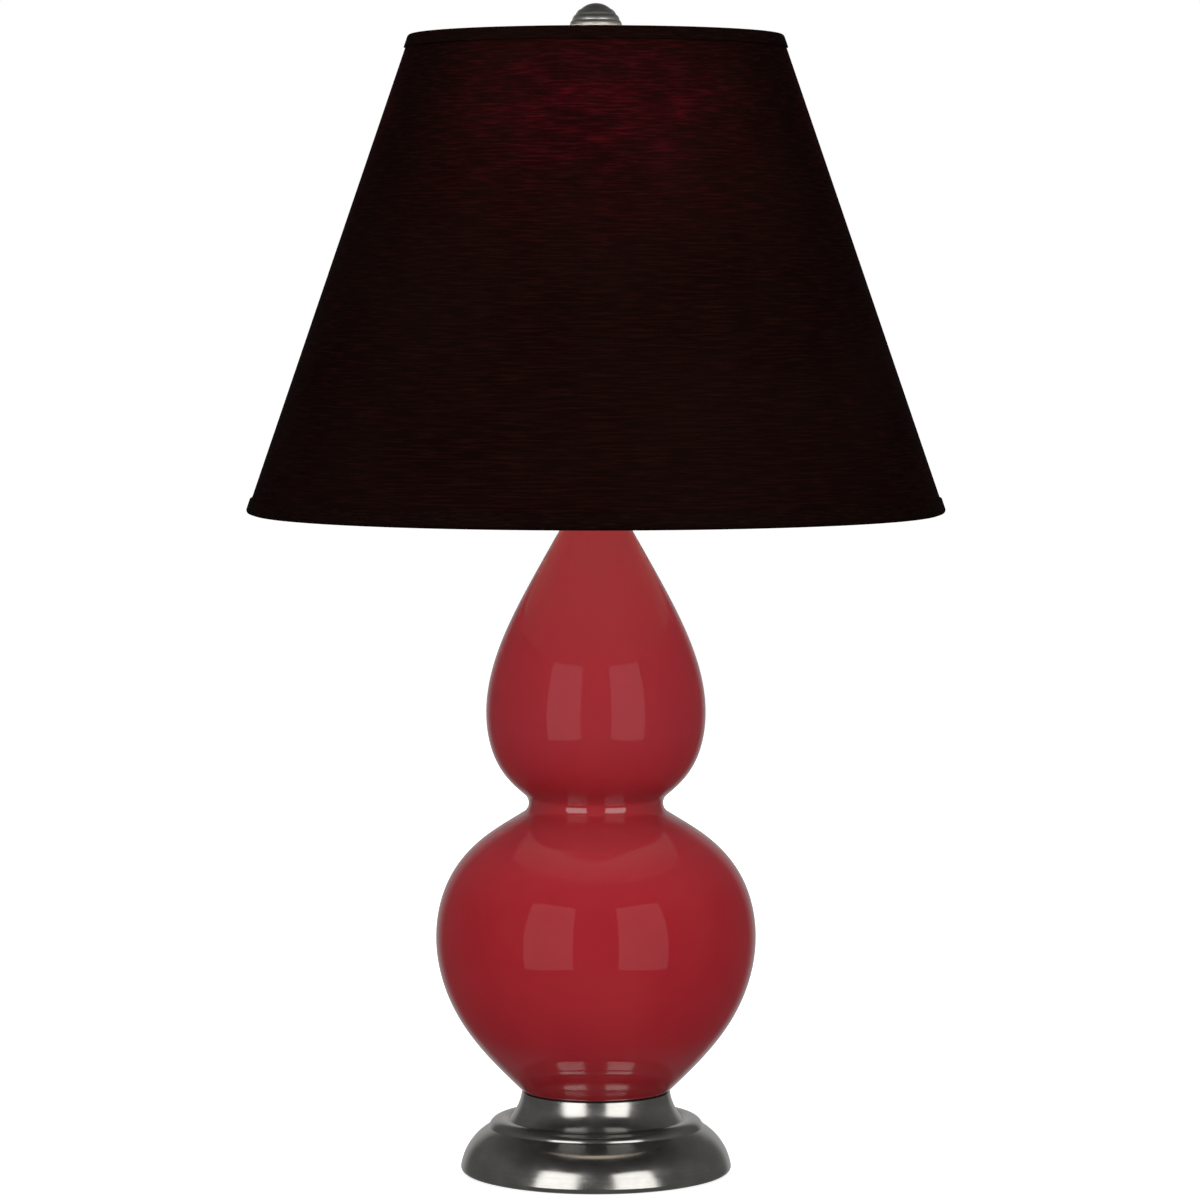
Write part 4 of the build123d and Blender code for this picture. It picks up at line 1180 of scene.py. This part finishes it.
@dataclass
class Harp:
    """The wire harp with its saddle, clip, swivel stud and sleeves, and the stack under it."""

    bottom: float = 343.0
    start: float = 353.0
    wire: float = 1.75
    leg_x: float = 22.0
    knee: tuple[float, float] = (42.0, 40.0)        # height and round
    side: tuple[float, float, float] = (54.0, 97.0, 80.0)       # half width, height and round
    shoulder: tuple[float, float, float] = (50.0, 169.0, 40.0)
    top: tuple[float, float, float] = (24.0, 196.0, 30.0)

    def line(self) -> Points:
        """Draw the wire's middle line in the plane of the harp, up one leg and down the other.

        Returns:
            The (x, y, z) points.
        """
        right = [(self.leg_x, self.start - self.bottom), (self.leg_x, self.knee[0]),
                 self.side[:2], self.shoulder[:2], self.top[:2]]
        corners = right + [(-x, z) for x, z in reversed(right)]
        rounds = [self.knee[1], self.side[2], self.shoulder[2], self.top[2]]
        flat = rounded(corners, rounds + rounds[::-1], steps=14)
        flat = flat + np.array([0.0, self.bottom])
        return np.stack([flat[:, 0], np.zeros(len(flat)), flat[:, 1]], axis=1)

    def build(self) -> list[bpy.types.Object]:
        """Make the wire and dress the harp's other pieces.

        Returns:
            The pieces.
        """
        wire = tube("harp_loop", self.line(), self.wire, (0.0, -1.0, 0.0), sides=28)
        parts = (("stand", {"harp_saddle": 0.5, "harp_clip": 0.6}),
                 ("swivel", {"harp_swivel_stud": 0.4}),
                 ("sleeve_left", {"harp_sleeve_left": 0.35}),
                 ("sleeve_right", {"harp_sleeve_right": 0.35}))
        pieces = [placed(wire, WIRE_NICKEL, "stand", "harp_wire")]
        for body, widths in parts:
            pieces += soften_nodes(WIRE_NICKEL, body, widths)
        pieces += soften_nodes(ZINC, "stand", {"harp_locknut": 0.4})
        pieces += soften_nodes(TURNED_NICKEL, "stand",
                               {"vase_cap": 0.4, "neck_spacer": 0.6})
        return pieces


@dataclass
class LampHolder:
    """The lamp holder with its switch, and the bulb."""

    shell_radius: float = 14.2
    shell_bottom: float = 382.0
    shell_top: float = 407.9
    shell_thread: float = 0.3
    shell_fade: float = 3.0         # the thread fades out over this length at each end
    shell_corners: tuple[float, float] = (0.8, 0.3)     # rounding outside and inside
    contact_hole: float = 4.3
    knob_start: float = 17.4        # from the lamp's axis
    knob_height: float = 375.0
    knob_length: float = 15.0
    knob_radii: tuple[float, float] = (6.0, 5.2)
    knob_edges: tuple[float, float] = (0.4, 1.1)        # rounding at the base and at the tip
    knob_bore: tuple[float, float] = (1.65, 12.5)       # radius and depth
    flutes: int = 12
    flute_radius: float = 0.8
    thread_pitch: float = 3.63
    thread_depth: float = 0.6
    thread_fade: float = 2.0
    base_bottom: float = 388.6
    base_length: float = 22.0
    base_radius: float = 13.2
    wall: float = 0.5
    neck_radius: float = 12.4
    neck_bottom: float = 398.6
    neck_top: float = 410.6
    flare: tuple[float, float] = (23.0, 433.5)
    globe_radius: float = 30.0
    globe_height: float = 463.5
    glass: float = 1.0

    def envelope(self, inset: float) -> Points:
        """Draw the bulb's envelope from its neck to the pole of the globe.

        Args:
            inset: How far inside the glass's outer face.

        Returns:
            The (radius, height) points.
        """
        flare = smooth_curve([(self.neck_radius - inset, self.neck_top),
                              (self.flare[0] - inset, self.flare[1]),
                              (self.globe_radius - inset, self.globe_height)], (0, 1), (0, 1), steps=30)
        globe = arc((self.globe_radius - inset, self.globe_height),
                    (0, self.globe_height + self.globe_radius - inset),
                    self.globe_radius - inset, Side.LEFT, steps=24)
        return joined((self.neck_radius - inset, self.neck_bottom), flare, globe)

    def thread(self, rise: Points, length: float, angle: Points, depth: float, fade: float) -> Points:
        """Work out how far a rolled thread goes into a wall.

        It is half the depth times (1 minus the cosine of the turn that the pitch gives at each
        height and angle), and it fades out towards both ends of the wall.

        Args:
            rise: Heights from the wall's lower end.
            length: Height of the wall.
            angle: Angles round the axis.
            depth: Depth of the thread.
            fade: Length of each end over which the thread fades.

        Returns:
            The depth at each height and angle, in millimetres.
        """
        ends = np.clip(np.minimum(rise, length - rise) / fade, 0, 1)
        return depth / 2 * (1 - np.cos(2 * math.pi * rise / self.thread_pitch - angle)) * ends

    def screw_base(self) -> bpy.types.Object:
        """Turn the bulb's screw base, a thin wall rolled into a thread.

        Returns:
            The base.
        """
        columns, rows = 96, 72
        angle = np.linspace(0, 2 * math.pi, columns, endpoint=False)[None, :]
        rise = np.linspace(0, self.base_length, rows)[:, None]
        radius = self.base_radius - self.thread(rise, self.base_length, angle, self.thread_depth,
                                                self.thread_fade)
        rise = np.broadcast_to(rise, radius.shape)
        radius = np.concatenate([radius, radius[::-1] - self.wall])
        height = np.concatenate([rise, rise[::-1]]) + self.base_bottom
        grid = np.stack([radius * np.cos(angle), radius * np.sin(angle), height], axis=-1) * MM
        piece = grid_mesh("bulb_screw_base", grid, wrap_rows=True, wrap_columns=True)
        return sharpened(piece, degrees=60)

    def roll(self, angle: Points, radius: Points, height: Points) -> Points:
        """Roll the thread into the screw shell's wall, and leave its flat bottom as it is.

        Args:
            angle: Angles round the axis.
            radius: Radii of the section's points.
            height: Their heights.

        Returns:
            Millimetres to add to the radius.
        """
        depth = self.thread(height - self.shell_bottom, self.shell_top - self.shell_bottom, angle,
                            self.shell_thread, self.shell_fade)
        return -depth * (radius > self.shell_radius - 2 * self.wall)

    def screw_shell(self) -> bpy.types.Object:
        """Turn the threaded cup that takes the bulb, open above and with a hole in its bottom.

        Returns:
            The cup.
        """
        outer, inner, low = self.shell_radius, self.shell_radius - self.wall, self.shell_bottom
        hole, rows = self.contact_hole, 70
        bottom = rounded([(hole, low), (outer, low), (outer, low + 2)], self.shell_corners[:1])
        inside = rounded([(inner, low + 2), (inner, low + self.wall), (hole, low + self.wall)],
                         self.shell_corners[1:])
        up = np.linspace(low + 2, self.shell_top, rows)
        wall = np.stack([np.full(rows, outer), up], axis=1)
        back = np.stack([np.full(rows, inner), up[::-1]], axis=1)
        section = joined(bottom, wall, back, inside)
        return sharpened(turned("screw_shell_rolled", section, columns=120, relief=self.roll), degrees=60)

    def knob(self) -> bpy.types.Object:
        """Make the fluted knob, which lies along the line from the lamp's axis to the front.

        Each ring's radius is that of the tapered knob, or less where it would stand in one of the
        round flutes: b cos d less the root of (the flute's radius squared less the square of
        b sin d), with b the knob's radius at its base and d the angle from the flute's middle.

        Returns:
            The knob.
        """
        base, tip = self.knob_radii
        bore, depth = self.knob_bore
        outline = rounded([(bore, 0.0), (base, 0.0), (tip, self.knob_length), (0.0, self.knob_length)],
                          self.knob_edges, steps=6)
        side = outline[7:9]
        fine = side[0] + np.linspace(0, 1, 20)[1:-1, None] * (side[1] - side[0])
        section = joined((0.0, depth), (bore, depth), outline[:8], fine, outline[8:])
        turn = np.linspace(0, 2 * math.pi, 16 * self.flutes, endpoint=False)[None, :]
        share = 2 * math.pi / self.flutes
        off = (turn + share / 2) % share - share / 2
        inside = self.flute_radius**2 - (base * np.sin(off))**2
        limit = np.where(inside > 0, base * np.cos(off) - np.sqrt(np.maximum(inside, 0)), base + 1)
        radius = np.minimum(section[:, :1], limit)
        along = np.broadcast_to(-(self.knob_start + section[:, 1:]), radius.shape)
        height = self.knob_height + radius * np.sin(turn)
        grid = np.stack([radius * np.cos(turn), along, height], axis=-1) * MM
        return sharpened(grid_mesh("knob_fluted", grid, wrap_rows=False, wrap_columns=True), degrees=50)

    def build(self) -> list[bpy.types.Object]:
        """Make the bulb, the screw shell and the knob, and dress the holder's other pieces.

        Returns:
            The pieces.
        """
        section = joined(self.envelope(self.glass)[::-1], self.envelope(0.0))
        envelope = turned("bulb_envelope", section, columns=96, closed=False)
        return [
            placed(envelope, FROSTED, "bulb", "bulb_glass"),
            placed(self.screw_base(), ALUMINIUM, "bulb", "bulb_base"),
            placed(self.screw_shell(), ALUMINIUM, "stand", "screw_shell"),
            placed(self.knob(), BLACK_PLASTIC, "switch", "switch_knob"),
            *soften_nodes(HOLDER_NICKEL, "stand",
                          {"holder_cap": 0.25, "holder_shell": 0.2}),
            *soften_nodes(PHENOLIC, "stand", {"switch_block": 0.4}),
            *soften_nodes(BRASS, "stand", {"terminal_screws": 0.2, "centre_contact": 0.3}),
            *soften_nodes(BRASS, "switch", {"switch_shaft": 0.2}),
            *soften_nodes(BLACK_GLASS, "bulb", {"bulb_insulator": 0.5}),
            *soften_nodes(SOLDER, "bulb", {"bulb_tip": 0.7}),
            *dress_nodes({"holder_set_screw": ZINC, "holder_insulator": CARD})]


@dataclass
class Shade:
    """The tapered shade: cloth on a stiff lining, taped rims and a wire spider."""

    bottom_radius: float = 172.6
    top_radius: float = 92.0
    bottom: float = 328.8
    height: float = 234.2
    trim: float = 0.8               # the tape's thickness
    glue: float = 0.05
    cloth: float = 0.5
    lining: float = 0.5
    trim_height: float = 7.0
    trim_round: float = 1.8
    tape_fold: float = 2.0          # what the fold takes of a tape's width
    pucker_depth: float = 0.05
    pucker_waves: tuple[tuple[float, float, float, float], ...] = (
        (1.0, 23, 0.4, 0.0), (1.0, 37, 1.9, 0.3), (0.6, 61, 2.7, 0.0))     # share, count, start, lean
    ring: float = 1.3
    seam_width: float = 12.0
    seam_gap: float = 0.4           # between the seam's ends and the tapes
    seam_lift: float = 0.45
    seam_sink: float = 0.09         # the seam's underside lies this deep in the cloth
    seam_profile: tuple[float, ...] = (0, 0.75, 1, 1, 1, 1, 1, 0.75, 0)
    hub_radius: float = 12.1        # the spokes start here, against the hub
    hub_middle: float = 549.3
    spoke_level: float = 85.5       # the spokes run level out to here, then rise to the ring
    spoke_bend: float = 7.0
    spoke_gap: float = 0.1
    spoke_angles: tuple[float, ...] = (90, 210, 330)

    @property
    def slant(self) -> float:
        """Length of the shade's side along its slope."""
        return math.hypot(self.height, self.bottom_radius - self.top_radius)

    def place(self, points: Sequence[Sequence[float]]) -> Points:
        """Carry points (out of the cloth, up the slant) to (radius, height).

        The radius is the bottom radius plus the way out times the cosine of the slope less the
        way up times its sine, and the height is the other way about.

        Args:
            points: The (out, up) points.

        Returns:
            The (radius, height) points.
        """
        pts = np.asarray(points, float)
        lean = math.atan2(self.bottom_radius - self.top_radius, self.height)
        radius = self.bottom_radius + pts[:, 0] * math.cos(lean) - pts[:, 1] * math.sin(lean)
        height = self.bottom + pts[:, 0] * math.sin(lean) + pts[:, 1] * math.cos(lean)
        return np.stack([radius, height], axis=1)

    def layer(self, name: str, outside: float, thickness: float, rows: int) -> bpy.types.Object:
        """Turn one layer of the shade's side, with soft edges.

        Args:
            name: Name of the piece.
            outside: Where its outer face lies, out of the cloth.
            thickness: Its thickness.
            rows: Faces up the slant.

        Returns:
            The piece.
        """
        low, high = self.trim_round, self.slant - self.trim_round
        up = np.linspace(low, high, rows + 1)
        out = np.full(rows + 1, outside)
        outer = np.stack([out, up], axis=1)
        inner = np.stack([out - thickness, up], axis=1)[::-1]
        return sharpened(turned(name, self.place(joined(outer, inner)), columns=240), degrees=60)

    def tape(self, name: str, edge: float, inward: float) -> bpy.types.Object:
        """Fold a tape round one rim and over its ring.

        Args:
            name: Name of the piece.
            edge: The rim's place up the slant.
            inward: 1 or -1, the way back onto the cloth.

        Returns:
            The piece.
        """
        inset = self.trim + self.glue + self.ring
        deep = -(self.trim + self.cloth + self.lining + 4 * self.glue + 2 * self.ring + self.trim)
        outer = rounded([(0, self.trim_height), (0, 0), (deep, 0), (deep, inset)],
                        [self.trim_round] * 2, steps=7)
        inner = rounded([(-self.trim, self.trim_height), (-self.trim, self.trim),
                         (deep + self.trim, self.trim), (deep + self.trim, inset)],
                        [self.trim_round - self.trim] * 2, steps=7)
        line = joined(outer, inner[::-1]) * np.array([1.0, inward]) + np.array([0.0, edge])
        return sharpened(turned(name, self.place(line), columns=320, relief=self.pucker), degrees=70)

    def pucker(self, angle: Points, radius: Points, height: Points) -> Points:
        """Give the tape's slight unevenness, a few slow waves round the rim.

        Args:
            angle: Angles round the axis.
            radius: Radii of the section's points, not used.
            height: Their heights.

        Returns:
            Millimetres to add to the radius.
        """
        waves = sum(share * np.sin(count * angle + start + lean * height)
                    for share, count, start, lean in self.pucker_waves)
        return self.pucker_depth * waves / sum(wave[0] for wave in self.pucker_waves)

    def seam(self) -> bpy.types.Object:
        """Lay the cloth's overlap up the back of the shade, between the two tapes.

        Each point of the strip (across, out, up) is put on the cone at the angle across over the
        radius, measured from the back.

        Returns:
            The seam.
        """
        over = np.linspace(-0.5, 0.5, len(self.seam_profile)) * self.seam_width
        across = np.concatenate([over, over[::-1]])
        lift = np.concatenate([np.array(self.seam_profile) * self.seam_lift,
                               np.full(len(over), -self.seam_sink)])
        out = -(self.trim + self.glue) + lift
        end = self.trim_height + self.seam_gap
        up = np.linspace(end, self.slant - end, 60)
        spots = np.stack(np.broadcast_arrays(out[None, :], up[:, None]), axis=-1).reshape(-1, 2)
        spots = self.place(spots).reshape(len(up), len(out), 2)
        angle = math.pi / 2 + across[None, :] / spots[..., 0]
        grid = np.stack([spots[..., 0] * np.cos(angle), spots[..., 0] * np.sin(angle), spots[..., 1]],
                        axis=-1) * MM
        ends = [np.repeat(grid[k:k + 1].mean(axis=1, keepdims=True), len(out), axis=1) for k in (0, -1)]
        grid = np.concatenate([ends[0], grid, ends[1]])
        rows = np.concatenate([up[:1], up, up[-1:], up[-1:]])[:, None]
        uv = np.stack(np.broadcast_arrays(np.append(across, across[0])[None, :], rows), axis=-1) * MM
        piece = grid_mesh("shade_seam", grid, wrap_rows=False, wrap_columns=True, uv=uv)
        return sharpened(piece, degrees=60)

    def ring_place(self, edge: float, inward: float) -> Points:
        """Work out where a ring's wire lies: (radius, height) of its middle."""
        out = -(self.trim + self.cloth + self.lining + 3 * self.glue + self.ring)
        return self.place([(out, edge + inward * (self.trim + self.glue + self.ring))])[0]

    def wire_ring(self, name: str, edge: float, inward: float) -> bpy.types.Object:
        """Turn one of the two wire rings from its round section.

        Args:
            name: Name of the piece.
            edge: The rim's place up the slant.
            inward: 1 or -1, the way back onto the cloth.

        Returns:
            The ring.
        """
        turn = np.linspace(0, 2 * math.pi, 20, endpoint=False)
        circle = np.stack([np.cos(turn), np.sin(turn)], axis=1)
        return turned(name, self.ring_place(edge, inward) + self.ring * circle, columns=300)

    def spokes(self) -> bpy.types.Object:
        """Bend the three spokes, which leave the hub level and rise to the top ring.

        Returns:
            The spokes as one piece.
        """
        bend = np.array([self.spoke_level, self.hub_middle])
        way = self.ring_place(self.slant, -1.0) - bend
        end = bend + way * (1 - (self.ring + self.spoke_gap) / np.linalg.norm(way))
        flat = rounded([(self.hub_radius, self.hub_middle), bend, end], [self.spoke_bend], steps=12)
        wires: list[bpy.types.Object] = []
        for degrees in self.spoke_angles:
            c, d = math.cos(math.radians(degrees)), math.sin(math.radians(degrees))
            line = np.stack([flat[:, 0] * c, flat[:, 0] * d, flat[:, 1]], axis=1)
            wires.append(tube("spoke", line, self.ring, (d, -c, 0.0)))
        return merged("spokes_bent", wires)

    def build(self) -> list[bpy.types.Object]:
        """Make and dress the shade's pieces.

        Returns:
            The pieces.
        """
        cloth_face = -(self.trim + self.glue)
        lining_face = cloth_face - self.cloth - self.glue
        cloth = placed(self.layer("shade_cloth", cloth_face, self.cloth, 60), CLOTH, "shade",
                       "shade_fabric")
        lining = placed(self.layer("shade_lining", lining_face, self.lining, 40), LINING, "shade",
                        "shade_liner")
        bottom = placed(self.tape("shade_bottom_tape", 0.0, 1.0), TAPE, "shade",
                        "shade_bottom_trim")
        top = placed(self.tape("shade_top_tape", self.slant, -1.0), TAPE, "shade",
                     "shade_top_trim")
        seam = placed(self.seam(), CLOTH, "shade")
        frame_wires = ((self.wire_ring("bottom_wire_ring", 0.0, 1.0), "shade_bottom_ring"),
                       (self.wire_ring("top_wire_ring", self.slant, -1.0), "shade_top_ring"),
                       (self.spokes(), "spider_spokes"))
        return [cloth, lining, bottom, top, seam,
                *(placed(wire, WIRE_NICKEL, "shade", node) for wire, node in frame_wires),
                *soften_nodes(WIRE_NICKEL, "shade", {"spider_hub": 0.5})]


@dataclass
class Finial:
    """The beehive finial on its waisted stem."""

    bottom: float = 550.8
    height: float = 27.2
    tiers: tuple[float, ...] = (7.2, 9.9, 11.6, 12.6)
    tier_height: float = 2.8
    bulge: float = 0.45
    under_bulge: float = 1.45       # of the lowest tier's underside
    stem_radius: float = 5.8
    stem_round: float = 27.2
    foot_radius: float = 8.0
    foot_height: float = 2.4
    bore_radius: float = 3.3
    bore_depth: float = 10.8
    edges: tuple[float, float, float] = (0.5, 0.4, 0.0)     # rounding of the foot, mouth and bore end

    def section(self) -> Points:
        """Draw the section from the crown's pole down the tiers and up the blind hole.

        Returns:
            The (radius, height) points.
        """
        heights = [self.height - self.tier_height * k for k in range(1, len(self.tiers) + 1)]
        rims = list(zip(self.tiers, heights))
        crown_radius = (self.tiers[0]**2 + self.tier_height**2) / (2 * self.tier_height)
        parts = [arc((0, self.height), rims[0], crown_radius, Side.RIGHT, steps=16)]
        parts += [bulged(a, b, self.bulge, Side.RIGHT, steps=12) for a, b in zip(rims[:-1], rims[1:])]
        shoulder = (self.stem_radius, rims[-1][1] - self.tier_height)
        parts.append(bulged(rims[-1], shoulder, self.under_bulge, Side.RIGHT, steps=14))
        foot = (self.foot_radius, self.foot_height)
        parts.append(arc(shoulder, foot, self.stem_round, Side.LEFT, steps=14))
        parts.append(rounded([foot, (self.foot_radius, 0),
                              (self.bore_radius, 0), (self.bore_radius, self.bore_depth),
                              (0, self.bore_depth)], self.edges, steps=4))
        return joined(*parts) + np.array([0.0, self.bottom])

    def build(self) -> list[bpy.types.Object]:
        """Make and dress the finial.

        Returns:
            The finial alone.
        """
        piece = sharpened(turned("finial_beehive", self.section(), columns=144, closed=False))
        return [placed(piece, TURNED_NICKEL, "finial", "finial")]


# ------------------------------------------------------------------ the studio
@dataclass(frozen=True)
class Fill:
    """One broad lamp that polished surfaces don't show: place, height it faces, size and watts."""

    name: str
    place: tuple[float, float, float]
    target_height: float
    size: tuple[float, float]
    power: float


@dataclass
class Studio:
    """Camera, floor, lights and surroundings, with lengths in metres."""

    lens: float = 147.0
    camera_place: tuple[float, float, float] = (0.0020, -2.41556, 0.44056)
    camera_drop: float = 3.69       # degrees below the horizon
    box_angle: float = 34.0         # degrees either side of the camera, seen from the lamp
    box_distance: float = 1.9
    box_height: float = 0.47
    box_size: tuple[float, float] = (1.24, 1.9)
    box_power: float = 14.0
    fills: tuple[Fill, ...] = (
        Fill("front_fill", (0.0, -1.7, 1.75), 0.2, (1.6, 1.2), 13.5),
        Fill("top_fill", (0.0, -0.2, 2.2), 0.0, (1.8, 1.8), 9.0),
        Fill("back_fill", (0.0, 2.0, 1.3), 0.2, (1.6, 1.2), 14.0))
    floor_reach: float = 40.0
    floor_level: float = -0.0001
    floor_glow: float = 0.86        # to the camera, so that only the lamp's shadow shows on it
    floor_paint: float = 0.62
    room_fill: float = 0.28         # what the room gives matt surfaces
    room_gloss: float = 0.12        # what polished ones show of it
    backdrop_gloss: float = 0.3     # the same of the white backdrop, on top
    ceiling_gloss: float = -0.08

    def camera(self) -> bpy.types.Object:
        """Set the camera where the photograph was taken from.

        Returns:
            The camera.
        """
        data = bpy.data.cameras.new("camera")
        data.lens, data.sensor_width = self.lens, 36.0
        camera = bpy.data.objects.new("camera", data)
        camera.location = self.camera_place
        camera.rotation_euler = (math.radians(90 - self.camera_drop), 0.0, 0.0)
        data.clip_start, data.clip_end = 0.05, 200.0
        bpy.context.scene.collection.objects.link(camera)
        bpy.context.scene.camera = camera
        return camera

    def area_light(self, name: str, place: Sequence[float], target: Sequence[float],
                   size: Sequence[float], power: float, glossy: bool = True) -> bpy.types.Object:
        """Hang one soft rectangular lamp that faces a point.

        Args:
            name: Name of the lamp.
            place: Where it hangs, in metres.
            target: The point that it faces.
            size: Its width and height in metres.
            power: Its power in watts.
            glossy: Whether polished surfaces show it.

        Returns:
            The lamp.
        """
        data = bpy.data.lights.new(name, "AREA")
        data.shape, data.size, data.size_y, data.energy = "RECTANGLE", size[0], size[1], power
        lamp = bpy.data.objects.new(name, data)
        lamp.location = place
        way = bpy.context.scene.cursor.location.copy()
        way.x, way.y, way.z = (t - p for t, p in zip(target, place))
        lamp.rotation_euler = way.to_track_quat("-Z", "Y").to_euler()
        lamp.visible_camera = False
        lamp.visible_glossy = glossy
        bpy.context.scene.collection.objects.link(lamp)
        return lamp

    def lights(self) -> list[bpy.types.Object]:
        """Hang the lamps.

        Two tall soft boxes stand either side of the camera and show in every gloss. Three broad
        lamps, over the camera, overhead and behind, only light the object, as the room's white
        walls would.

        Returns:
            The lamps.
        """
        lamps: list[bpy.types.Object] = []
        angle = math.radians(self.box_angle)
        for name, side in (("left_box", -1.0), ("right_box", 1.0)):
            place = (side * self.box_distance * math.sin(angle),
                     -self.box_distance * math.cos(angle), self.box_height)
            lamps.append(self.area_light(name, place, (0, 0, self.box_height), self.box_size,
                                         self.box_power))
        for fill in self.fills:
            lamps.append(self.area_light(fill.name, fill.place, (0, 0, fill.target_height), fill.size,
                                         fill.power, glossy=False))
        return lamps

    def floor(self) -> bpy.types.Object:
        """Lay the pale floor, white to the camera except where the lamp shades it.

        It lies just under the felt, and it is clear to polished surfaces and from underneath.

        Returns:
            The floor.
        """
        reach, low = self.floor_reach, self.floor_level
        grid = np.array([[[-reach, -reach, low], [reach, -reach, low]],
                         [[-reach, reach, low], [reach, reach, low]]], dtype=float)
        floor = grid_mesh("floor", grid, wrap_rows=False, wrap_columns=False)
        material = bpy.data.materials.new("pale_floor")
        material.use_nodes = True
        tree = material.node_tree
        tree.nodes.clear()
        ray = add_node(tree, "ShaderNodeLightPath").outputs
        glow = add_node(tree, "ShaderNodeMath", {0: ray["Is Camera Ray"], 1: self.floor_glow},
                        operation="MULTIPLY")
        seen = add_node(tree, "ShaderNodeEmission", {"Color": (1, 1, 1, 1), "Strength": glow})
        paint = add_node(tree, "ShaderNodeBsdfDiffuse", {"Color": (self.floor_paint,) * 3 + (1,)})
        both = add_node(tree, "ShaderNodeAddShader", {0: seen, 1: paint})
        under = add_node(tree, "ShaderNodeNewGeometry").outputs["Backfacing"]
        unseen = add_node(tree, "ShaderNodeMath", {0: ray["Is Glossy Ray"], 1: under},
                          operation="MAXIMUM")
        clear = add_node(tree, "ShaderNodeBsdfTransparent")
        end = add_node(tree, "ShaderNodeMixShader", {0: unseen, 1: both, 2: clear})
        add_node(tree, "ShaderNodeOutputMaterial", {"Surface": end})
        floor.data.materials.append(material)
        return floor

    def world(self) -> None:
        """Surround the lamp: white to the camera, a dim studio with a white backdrop to metal.

        The backdrop stands behind the lamp, so polished surfaces show it near their edges, and
        the matt surfaces get an even fill.
        """
        world = bpy.data.worlds.new("studio")
        world.use_nodes = True
        bpy.context.scene.world = world
        tree = world.node_tree
        tree.nodes.clear()
        ray = add_node(tree, "ShaderNodeLightPath").outputs
        way = add_node(tree, "ShaderNodeTexCoord").outputs["Generated"]
        _, y, z = add_node(tree, "ShaderNodeSeparateXYZ", {0: way}).outputs
        backdrop = add_node(tree, "ShaderNodeMapRange", {0: y, 1: 0.8, 2: 0.92, 4: self.backdrop_gloss})
        ceiling = add_node(tree, "ShaderNodeMapRange", {0: z, 1: 0.5, 2: 0.85, 4: self.ceiling_gloss})
        mirror = add_node(tree, "ShaderNodeMath", {0: backdrop, 1: ceiling}, operation="ADD")
        mirror = add_node(tree, "ShaderNodeMath", {0: mirror, 1: self.room_gloss}, operation="ADD")
        shiny = add_node(tree, "ShaderNodeMath", {0: ray["Is Glossy Ray"], 1: ray["Is Transmission Ray"]},
                         operation="MAXIMUM")
        level = add_node(tree, "ShaderNodeMix", {0: shiny, 2: self.room_fill, 3: mirror},
                         data_type="FLOAT")
        level = add_node(tree, "ShaderNodeMix", {0: ray["Is Camera Ray"], 2: level, 3: 1.0},
                         data_type="FLOAT")
        sky = add_node(tree, "ShaderNodeBackground", {"Color": (1, 1, 1, 1), "Strength": level})
        add_node(tree, "ShaderNodeOutputWorld", {"Surface": sky})

    def build(self) -> list[bpy.types.Object]:
        """Make the whole studio.

        Returns:
            Its camera, floor and lamps.
        """
        bpy.context.scene.view_settings.view_transform = "Standard"
        camera, floor = self.camera(), self.floor()
        lamps = self.lights()
        self.world()
        return [camera, floor, *lamps]


def main() -> None:
    """Build the studio and the lamp's sub-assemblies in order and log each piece."""
    logging.basicConfig(level=logging.INFO, format="%(message)s")
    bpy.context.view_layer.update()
    for part in (Studio(), Foot(), GourdBody(), Harp(), LampHolder(), Shade(), Finial()):
        for piece in part.build():
            LOG.info("%s: %s", type(part).__name__, piece.name)


if __name__ == "__main__":
    main()
